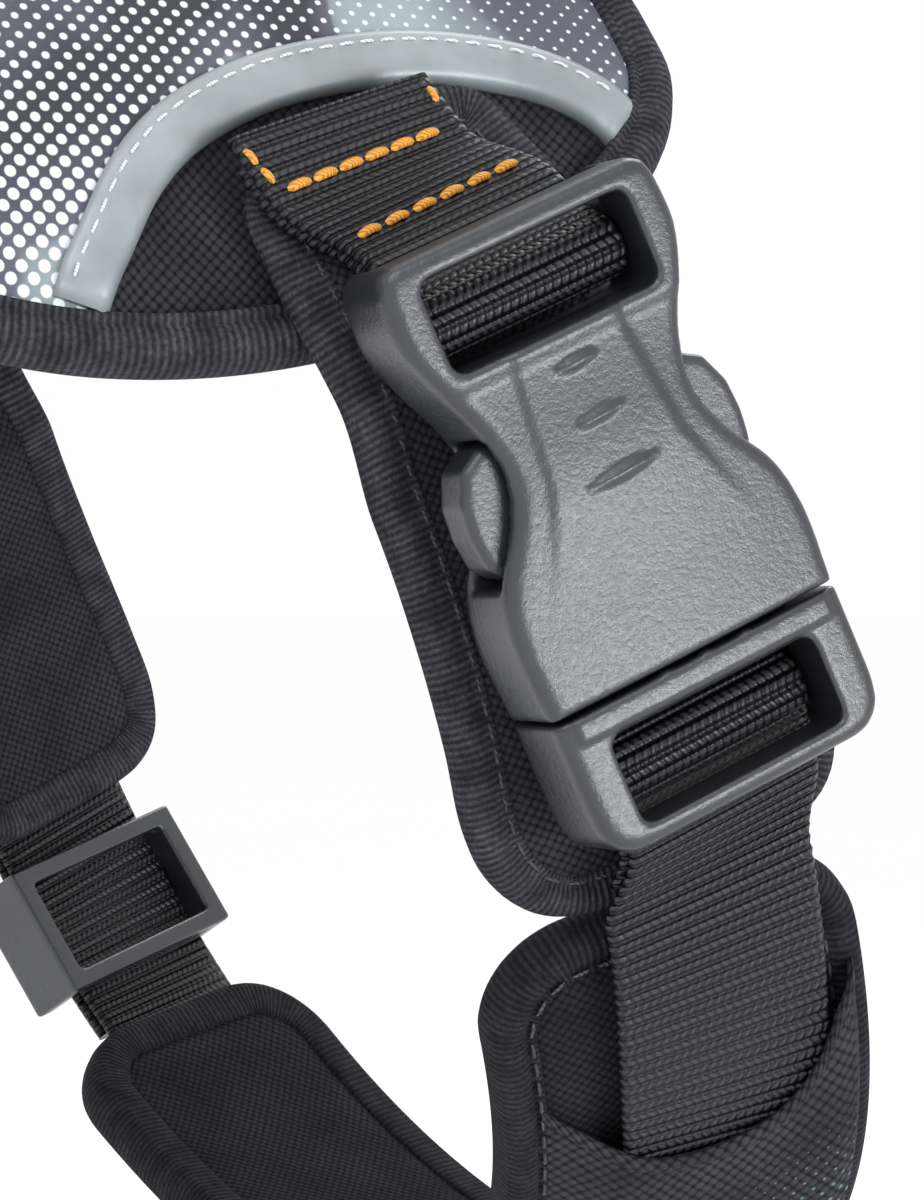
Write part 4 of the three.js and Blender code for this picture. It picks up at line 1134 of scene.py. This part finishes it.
def housing_front(x, y, z):
    """A low crown, a raised middle that widens downwards, and short lens-shaped grip ridges."""
    front = ease(z, 4.4, 5.9)
    crown = 0.5 * (1 - (x / BUCKLE_HALF) ** 2) * ease(y, 34, 20)
    edge = np.interp(y, [8, 22, 36.7], [13.5, 8.0, 6.2])
    panel = 0.34 * ease(np.abs(x), edge + 1.0, edge - 0.6) * ease(y, 8, 26) * ease(y, 38.5, 35.5)
    ridges = np.zeros_like(x)
    for at, half, thick in ((33.0, 3.0, 0.62), (27.0, 3.4, 0.6), (20.6, 4.6, 0.8)):
        across = np.clip(1 - (x / half) ** 2, 0, 1)
        along = np.clip(1 - (np.abs(y - at - 0.05 * x) / (thick * across + 1e-3)) ** 2, 0, 1)
        ridges = np.maximum(ridges, 0.7 * across**0.5 * along)
    rim = 0.45 * ease(y, 34.2, 36.2) * ease(np.abs(x), 17.8, 15.5)
    return front * (crown + panel + ridges + rim)


fitted(housing, "buckle_housing", in_buckle, "vest", SOCKET, housing_front)

latch_side = [(BUCKLE_HALF, 4), (BUCKLE_HALF, -10.6)]
latch_side += [
    (13.4 + 4.4 * math.cos(a), -12.1 + 4.4 * math.sin(a)) for a in np.radians(np.linspace(-5, -90, 7))
]
latch = prism(
    "buckle_latch_frame", both_sides(latch_side[::-1])[::-1], -BUCKLE_THICK / 2, BUCKLE_THICK / 2
)
softened(latch, 1.5, 3)
window = prism("window", rounded_box(-12.9, 12.9, -14.1, -4.1, 1.2, 0.8), -9, 9)
back = box("back", -14.05, 14.05, -17.5, -12.5, -12.5, -0.6)
seam_cut = box("seam cut", -30, 30, -SEAM + 0.25, 9, -20, 20)
combined(latch, [window, back, seam_cut], "DIFFERENCE")
solid = [rod("rod", BAR, -13.6, 13.6, *LATCH_BAR), box("tongue", -2.4, 2.4, -1.8, 29, -2.4, 2.4)]
for x in (-4.6, 0.4, 5.4):
    solid.append(box("rib", x, x + 0.7, -1.2, -0.25, 2.6, 5.6))
combined(latch, solid, "UNION")
moulded(latch, 0.42, 4)


def latch_front(x, y, z):
    front = ease(z, 4.2, 5.8)
    lip = 0.45 * ease(y, -3.7, -3.0) * ease(np.abs(x), 16.6, 15.6)
    return front * (0.3 * (1 - (x / BUCKLE_HALF) ** 2) + lip)


fitted(latch, "buckle_latch_frame", in_buckle, "belly_band", PIN_PLASTIC, latch_front)

arm_side = [
    (9.6, 0.2), (12.4, 0.2), (12.4, 14.8), (15.0, 15.2), (16.6, 17.0), (17.0, 20.5), (16.7, 24.0),
    (15.2, 27.4),
]
arm_side += [(12.6, 28.9), (9.6, 28.9), (9.2, 20)]
for name, sign in (("latch_arm_front", -1), ("latch_arm_rear", 1)):
    arm = prism(name, [(sign * x, y) for x, y in arm_side], -3.5, 3.5)
    softened(arm, 1.0, 3)
    moulded(arm, 0.32, 3)
    fitted(arm, name, in_buckle, name, SOCKET)

# ---------- strap loop on the right ----------
loop = box("side_loop_frame", STRAP_GAP, STRAP_GAP + 3.2, -2.6, LOOP_HEIGHT + 2.6, -2.2, 2.2)
parts = [box("rail", -STRAP_GAP - 3.2, -STRAP_GAP, -2.6, LOOP_HEIGHT + 2.6, -2.2, 2.2)]
parts += [rod("bar", LOOP_BAR, -STRAP_GAP - 0.5, STRAP_GAP + 0.5, y, 0) for y in (0, LOOP_HEIGHT)]
combined(loop, parts, "UNION")
moulded(loop, 0.38, 5)
fitted(loop, "side_loop_frame", in_side_loop, "vest", SOCKET)

# ---------- belly band ----------
PAD_TOP, PAD_END = 29.8, 219.8
belly_line = rounded_box(-27, 17, PAD_TOP, PAD_END, 12)
belly_tape = edge_tape("belly_pad_binding", belly_line, on_hoop, TAPE_UNDER, 5.9)
belongs(belly_tape, "belly_band", BELLY_TAPE, "binding_tape", "belly_pad_binding")
belly_pad = padded_pair("belly_pad", inset(belly_line, 2.0), on_hoop, 0.0, 5.5, 2.6, 6.0)
belongs(
    belly_pad, "belly_band", BELLY_MESH, "air_mesh", "belly_pad_foam", "belly_pad_lining",
    "belly_pad_cover",
)
belly_sewing = inset(belly_line, SEWN_IN)
belly_run = (1.9, 0.45, 0.12)
sew(
    "belly_pad_stitches", belly_sewing, on_hoop, 6.05, 3.0, belly_run, GREY, "binding_tape",
    "belly_band",
)

ON_LATCH_BAR = 8.6
MIDDLE = (HALF_TURN - ON_LATCH_BAR) / 2
LEFT_TAIL, RIGHT_TAIL = 15.0, 60.0


def level_change(place, start):
    return lambda x, d, e: place(x, d, e + start * ease(d, RIGHT_TAIL, MIDDLE - 6))


def strap_side(t):
    """The strap leans a little forwards as it goes into the sleeve."""
    return 0.4 - 2.2 * (ease(t, 18, 56) - ease(t, 100, 150))


left_end = off_bar(
    in_buckle,
    *LATCH_BAR,
    -1,
    17,
    20,
    lambda x, d, e: on_hoop(x + strap_side(ON_LATCH_BAR + d), ON_LATCH_BAR + d, STRAP_HEIGHT + e),
)
right_end = off_bar(
    in_side_loop, 0, 0, -1, 0, 18, lambda x, d, e: on_hoop(x, HALF_TURN - d, STRAP_HEIGHT + e)
)
belly_strap = strap(
    "belly_strap", bar_loop(BAR, MIDDLE, LEFT_TAIL), level_change(left_end, -BOTH_LAYERS / 2)
)
far_half = strap(
    "belly_strap_far", bar_loop(LOOP_BAR, RIGHT_TAIL, MIDDLE), level_change(right_end, BOTH_LAYERS / 2)
)
only(belly_strap)
far_half.select_set(True)
bpy.ops.object.join()
belongs(belly_strap, "belly_band", WEBBING, "webbing", "belly_strap")

# the sleeve's mouth is an arch across the strap
mouth = [(-22.5, 52.5), (-20, 55.2), (-16, 58), (-9.6, 60.3), (-3, 60.2)]
mouth = spaced(mouth + [(3.6, 57.8), (8.2, 53.3), (11.5, 47.6), (15.2, 44.6)], 0.9)
tunnel = [(-22.3, 5.6), (-19.5, 6.8), (-13.6, 10.4), (-11, 10.9), (0, 11.0), (11, 10.9)]
tunnel += [(13.2, 9.9), (14.5, 7.6), (15.2, 5.6)]
tunnel = np.array(tunnel, float)
SLEEVE_END, SLEEVE_WIDTH = 207.0, 42.0
COLUMNS, ROWS = 60, 150
share = np.linspace(0, 1, ROWS) ** 1.15
across_w = np.interp(np.linspace(0, 1, COLUMNS), np.linspace(0, 1, len(mouth)), mouth[:, 0])
starts = np.interp(across_w, mouth[:, 0], mouth[:, 1])
w = np.broadcast_to(across_w, (ROWS, COLUMNS))
t = mix(starts, SLEEVE_END, share[:, None])
h = np.interp(w, tunnel[:, 0], tunnel[:, 1]) + 0.12 * np.sin(t / 7.3) * np.sin(w / 5.1)
h = h + 0.3 * np.exp(-((t - starts) / 2.2) ** 2)
sleeve_faces, sleeve_uv = [], []
for i in range(ROWS - 1):
    for j in range(COLUMNS - 1):
        quad = [(i, j), (i + 1, j), (i + 1, j + 1), (i, j + 1)]
        sleeve_faces.append(tuple(a * COLUMNS + b for a, b in quad))
        sleeve_uv += [(w[q], t[q]) for q in quad]
sleeve = make_mesh("belly_sleeve", on_hoop(w, t, h).reshape(-1, 3), sleeve_faces, sleeve_uv)
middle_point = Vector(on_hoop(0, 130, 30)) - Vector(on_hoop(0, 130, 0))
if sleeve.data.polygons[len(sleeve.data.polygons) // 2].normal.dot(middle_point) < 0:
    sleeve.data.flip_normals()
finish_with(sleeve, "SOLIDIFY", thickness=0.6 * MM, offset=-1.0)
hem_line = np.stack([across_w, starts + 0.2], axis=1)
hem_rise = np.interp(across_w, tunnel[:, 0], tunnel[:, 1]) + 0.15
hem = []
for angle in np.linspace(0, 2 * math.pi, 10, endpoint=False):
    hem_at = hem_line[:, 1] + 0.95 * math.cos(angle) + 0.6
    hem.append(on_hoop(hem_line[:, 0], hem_at, hem_rise + 0.6 * math.sin(angle)))
sleeve_hem = sweep("belly_sleeve_hem", np.stack(hem, axis=1), run_of(hem_line), np.linspace(0, 5, 11))
belongs(sleeve, "belly_band", SLEEVE_MESH, "air_mesh", "belly_sleeve")
belongs(sleeve_hem, "belly_band", SLEEVE_MESH, "air_mesh")


def slider(name, reach, play, place, body):
    """Two outer bars behind the strap and a middle bar in front of it."""
    rail, low, high, half = STRAP_GAP + 3, -reach - play, reach + play, 9.5
    piece = box(name, STRAP_GAP, rail, -half, half, low - 1.8, high + 1.8)
    parts = [box("rail", -rail, -STRAP_GAP, -half, half, low - 1.8, high + 1.8)]
    for y in (-half, half - 2.6):
        parts.append(box("outer bar", -STRAP_GAP - 1, STRAP_GAP + 1, y, y + 2.6, low - 1.8, low))
    parts.append(box("middle bar", -STRAP_GAP - 1, STRAP_GAP + 1, -2.6, 2.6, high, high + 1.8))
    combined(piece, parts, "UNION")
    moulded(piece, 0.4, 4)
    return fitted(piece, name, place, body, SOCKET)


slider(
    "belly_slider", BOTH_LAYERS, 1.5, frame_on(on_hoop, HALF_TURN - SLIDER_FROM_LOOP, STRAP_HEIGHT),
    "belly_slider",
)

# ---------- handle and leash ring ----------
HANDLE_MIDDLE, HANDLE_HALF, HANDLE_RISE, GRIP_HALF = -62.0, 32.0, 30.0, 18.0
foot_height = PRINT_TOP + GAP + WEB_THICK / 2
handle_top = foot_height + HANDLE_RISE
grip_points = [(-GRIP_HALF, handle_top - 1.2), (0, handle_top), (GRIP_HALF, handle_top - 1.2)]
upright = [(-HANDLE_HALF + 2, foot_height + 1.2), (-HANDLE_HALF + 9, foot_height + HANDLE_RISE * 0.62)]
arch_line = upright + grip_points + [(-x, h) for x, h in upright[::-1]]
feet = [(-HANDLE_HALF - 12, foot_height), (-HANDLE_HALF - 2, foot_height)]
handle_line = feet + arch_line + [(-x, h) for x, h in feet[::-1]]
handle_line = spaced([(HANDLE_MIDDLE + x, h) for x, h in handle_line], RIB / 4)
handle_line[:, 1] = np.maximum(handle_line[:, 1], foot_height)


def along_spine(across, x, h):
    return on_torso(x, across, h)


handle = strap("handle_webbing", handle_line, along_spine)
belongs(handle, "vest", WEBBING, "webbing", "handle_webbing")

grip_line = spaced([(HANDLE_MIDDLE + x, h) for x, h in grip_points], 0.8)
grip_run = run_of(grip_line)
grip_normal = sideways(grip_line)
ends = np.clip(np.minimum(grip_run, grip_run[-1] - grip_run) / 2.5, 0, 1)
fullness = 0.72 + 0.28 * np.sqrt(1 - (1 - ends) ** 2)
rings, around = [], [0.0]
for angle in np.linspace(0, 2 * math.pi, 40, endpoint=False):
    side = math.copysign(abs(math.cos(angle)) ** 0.55, math.cos(angle)) * 15.5
    lift = math.copysign(abs(math.sin(angle)) ** 0.75, math.sin(angle)) * 3.4
    rings.append(
        along_spine(
            side * (0.9 + 0.1 * fullness),
            grip_line[:, 0] + grip_normal[:, 0] * lift * fullness,
            grip_line[:, 1] + grip_normal[:, 1] * lift * fullness,
        )
    )
    around.append(around[-1] + 2.0)
grip = sweep("handle_grip", np.stack(rings, axis=1), grip_run, around)
belongs(grip, "vest", BELLY_MESH, "air_mesh", "handle_grip")
for name, x in (("front", -HANDLE_HALF - 7), ("rear", HANDLE_HALF + 7)):
    for row_number, shift in enumerate((-2.6, 2.6)):
        row = straight_row(HANDLE_MIDDLE + x + shift, -10.5, 10.5)[:, ::-1]
        sew(f"handle_stitches_{name}_{row_number + 1}", row, on_torso, foot_height + WEB_THICK / 2, 3.5)


def keeper(name, stock, bar_height, base, reach, width, place, *nodes):
    """A short webbing that lies down, arches over a ring's bar and lies down again."""
    hump = 0.72 * stock + WEB_PLAY + WEB_THICK / 2 + 0.2
    foot = base + WEB_THICK / 2
    line = [(-reach, foot), (-hump - 2.5, foot)]
    arc = np.radians(np.linspace(200, -20, 24))
    line += [(hump * math.cos(a), bar_height + hump * math.sin(a)) for a in arc]
    line += [(hump + 2.5, foot), (reach, foot)]
    piece = strap(name, eased_line(resampled(np.array(line), RIB / 4), 4), place, width)
    return belongs(piece, "vest", WEBBING, "webbing", name)


def wire_ring(name, width, depth, stock, place, body):
    """A ring bent from round bar: a straight side in the keeper and a round end."""
    half = width / 2 + stock / 2
    reach = depth + stock / 2
    line = [(-half + 4, 0), (0, 0), (half - 4, 0), (half - 1.1, 1.1), (half, 4)]
    for angle in np.radians(np.linspace(8, 172, 15)):
        line.append((half * math.cos(angle), reach - 0.8 * half * (1 - math.sin(angle))))
    line += [(-half, 4), (-half + 1.1, 1.1)]
    line = spaced(line, 1.0, True)
    normal = sideways(line, True)
    rings = []
    for angle in np.linspace(0, 2 * math.pi, 20, endpoint=False):
        out = stock / 2 * math.cos(angle)
        lift = stock / 2 * math.sin(angle)
        rings.append(place(line[:, 0] + normal[:, 0] * out, line[:, 1] + normal[:, 1] * out, lift))
    piece = sweep(
        name, np.stack(rings, axis=1), run_of(line, True), np.linspace(0, 13, 21), closed=True
    )
    return belongs(piece, body, METAL, "ring_metal", name)


RING_AT, RING_WIDTH, RING_DEPTH, RING_STOCK, RING_LIFT = -2.0, 34.0, 27.0, 4.2, math.radians(3)
keeper_base = PRINT_TOP + GAP + 0.3
ring_bar = keeper_base + WEB_PLAY + 0.72 * RING_STOCK
keeper(
    "ring_keeper",
    RING_STOCK,
    ring_bar,
    keeper_base,
    12,
    RING_WIDTH - 5,
    lambda across, x, h: stack(RING_AT + x, across, h),
)
ring_out = np.array([math.cos(RING_LIFT), 0, math.sin(RING_LIFT)])
ring_up = np.array([-math.sin(RING_LIFT), 0, math.cos(RING_LIFT)])
wire_ring(
    "leash_ring",
    RING_WIDTH,
    RING_DEPTH,
    RING_STOCK,
    local_frame(np.array([RING_AT, 0, ring_bar]), SIDEWAYS, ring_out, ring_up),
    "leash_ring",
)
for number, x in enumerate((-9.5, 9.5)):
    row = straight_row(RING_AT + x, -11.5, 11.5)[:, ::-1]
    name = f"ring_keeper_stitches_{number + 1}"
    sew(name, row, lambda x, s, h: stack(x, -s, h), keeper_base + WEB_THICK, 3.5)

# ---------- chest loop ----------
chest_line = rounded_box(-23, 23, CHEST_MIDDLE - 50, CHEST_MIDDLE + 50, 16)
chest_tape = edge_tape("chest_pad_binding", chest_line, on_chest, TAPE_UNDER, 6.3)
belongs(chest_tape, "vest", TAPE, "binding_tape", "chest_pad_binding")
chest_pad = padded_pair("chest_pad", inset(chest_line, 2.0), on_chest, 0.0, 5.0, 2.4, 5.0)
belongs(chest_pad, "vest", MESH, "air_mesh", "chest_pad_foam", "chest_pad_lining")
cover_line = inset(chest_line, 3.2)
flat, faces = flat_triangles(cover_line, 2.2)
chest_rise = 5.35 + 0.75 * ease(distance_to(flat, cover_line), 1, 7)
chest_print = printed_sheet("chest_pad_cover", flat, faces, on_chest, chest_rise)
belongs(chest_print, "vest", CHEST_PRINT, "print_fabric", "chest_pad_cover")

CHEST_COVER_TOP = 0.8 + GAP + 3.4 + GAP + 0.8
STRAP_FOOT = CHEST_COVER_TOP + GAP + WEB_THICK / 2 + 0.5
LOBE_FROM, LOBE_EDGE, LOBE_S = -84.0, -120.0, FLANK - 35
sewn_run = LOBE_FROM - LOBE_EDGE
chest_entry = CHEST_UNROLL * math.asin((CHEST_BACK - LOBE_EDGE) / (CHEST_REACH * math.cos(CHEST_PITCH)))
free_run = CHEST_MIDDLE - 50 + 20 - chest_entry
TURN_RUN = 24.0
for side, sign in (("left", 1.0), ("right", -1.0)):

    def chest_place(x, u, e, flank=sign):
        sewn = on_torso(LOBE_FROM - u, LOBE_S - x, PRINT_TOP + GAP + WEB_THICK / 2 + e)
        free = on_chest(x, chest_entry + u - sewn_run, STRAP_FOOT + e)
        p = mix(sewn, free, ease(u, sewn_run, sewn_run + TURN_RUN)[..., None])
        return p * np.array([1.0, flank, 1.0])

    line = resampled(np.array([(0.0, 0.0), (sewn_run + free_run, 0.0)]), RIB / 4)
    piece = strap("chest_strap_" + side, line, chest_place)
    belongs(piece, "vest", WEBBING, "webbing", "chest_strap_" + side)
    for number, u in enumerate((4.0, 22.0, sewn_run + free_run - 14, sewn_run + free_run - 4)):
        name = f"chest_stitches_{side}_{number + 1}"
        sew(name, straight_row(u, -10, 10), chest_place, WEB_THICK / 2, 3.3, (2.9, 1.1, 0.5))
    left_frame = frame_on(on_chest, chest_entry + TURN_RUN + 11, STRAP_FOOT)
    slider(
        "chest_slider_" + side,
        WEB_THICK / 2,
        0.9,
        left_frame if sign > 0 else mirrored_frame(left_frame),
        "chest_slider_" + side,
    )

CHEST_RING_WIDTH, CHEST_RING_DEPTH, CHEST_STOCK, RING_BELOW = 30.0, 24.0, 3.8, 2.0
keeper_foot = CHEST_COVER_TOP + GAP + 0.5
chest_bar = keeper_foot + WEB_PLAY + 0.72 * CHEST_STOCK - 0.3
chest_front = on_chest(0, CHEST_MIDDLE, 0)


def on_breast(x, y, z):
    return (
        chest_front
        + CHEST_AHEAD * np.asarray(z, float)[..., None]
        + CHEST_UP * np.asarray(y, float)[..., None]
        + SIDEWAYS * np.broadcast_to(np.asarray(x, float), np.shape(y))[..., None]
    )


keeper(
    "chest_ring_keeper",
    CHEST_STOCK,
    chest_bar,
    keeper_foot,
    15,
    CHEST_RING_WIDTH - 6,
    lambda across, y, z: on_breast(across, y + RING_BELOW, z),
)
ring_origin = on_breast(0.0, RING_BELOW, chest_bar)
wire_ring(
    "chest_ring",
    CHEST_RING_WIDTH,
    CHEST_RING_DEPTH,
    CHEST_STOCK,
    local_frame(ring_origin, SIDEWAYS, np.array([0, 0, -1.0]), np.array([-1.0, 0, 0])),
    "chest_ring",
)

# ---------- floor, light and camera ----------
OPEN_BAND_DROP = 0.077  # room for the belly band, which hangs 0.074 m lower when it is open
floor_level = cad_box[0][2] - OPEN_BAND_DROP
bpy.ops.object.select_all(action="DESELECT")
bpy.ops.mesh.primitive_plane_add(size=60, location=(0, 0, floor_level))
floor = bpy.context.active_object
floor.name = "floor"
paper, paper_tree, paper_shader = start_finish(
    "white studio paper", "#ffffff", 1.0, Specular_IOR_Level=0.0
)
grain = add_node(paper_tree, "TexNoise", {"Scale": 60.0})
paper_colour = two_tones(paper_tree, grain.outputs["Fac"], "#fdfdfd", "#ffffff")
paint(paper_tree, paper_shader, paper_colour)
floor.data.materials.append(paper)

sky = bpy.data.worlds.new("studio")
bpy.context.scene.world = sky
sky.use_nodes = True
background = sky.node_tree.nodes["Background"]
background.inputs["Color"].default_value = (1.0, 1.0, 1.0, 1.0)
background.inputs["Strength"].default_value = 1.0

aim = Vector(MOUTH * MM)


def soft_light(name, offset, size, power):
    light = bpy.data.lights.new(name, "AREA")
    light.shape = "RECTANGLE"
    light.size, light.size_y = size
    light.energy = power
    light.color = (0.93, 0.96, 1.0)
    lamp = bpy.data.objects.new(name, light)
    bpy.context.scene.collection.objects.link(lamp)
    lamp.location = aim + Vector(offset)
    lamp.rotation_euler = (-Vector(offset)).to_track_quat("-Z", "Y").to_euler()


soft_light("key", (0.26, -0.95, -0.22), (0.5, 0.36), 15.0)
soft_light("top", (-0.45, -0.55, 0.75), (0.5, 0.5), 3.0)
soft_light("rim", (0.5, 0.5, 0.9), (0.5, 0.5), 4.0)

lens = bpy.data.cameras.new("camera")
camera = bpy.data.objects.new("camera", lens)
bpy.context.scene.collection.objects.link(camera)
lens.sensor_width = 36.0
lens.sensor_fit = "AUTO"
lens.lens = 127.2
lens.clip_start, lens.clip_end = 0.01, 100.0
camera.location = (-0.2443, -0.4716, -0.0947)
camera.rotation_euler = (math.radians(90), 0, math.radians(-30))
bpy.context.scene.camera = camera
bpy.context.scene.view_settings.view_transform = "Standard"
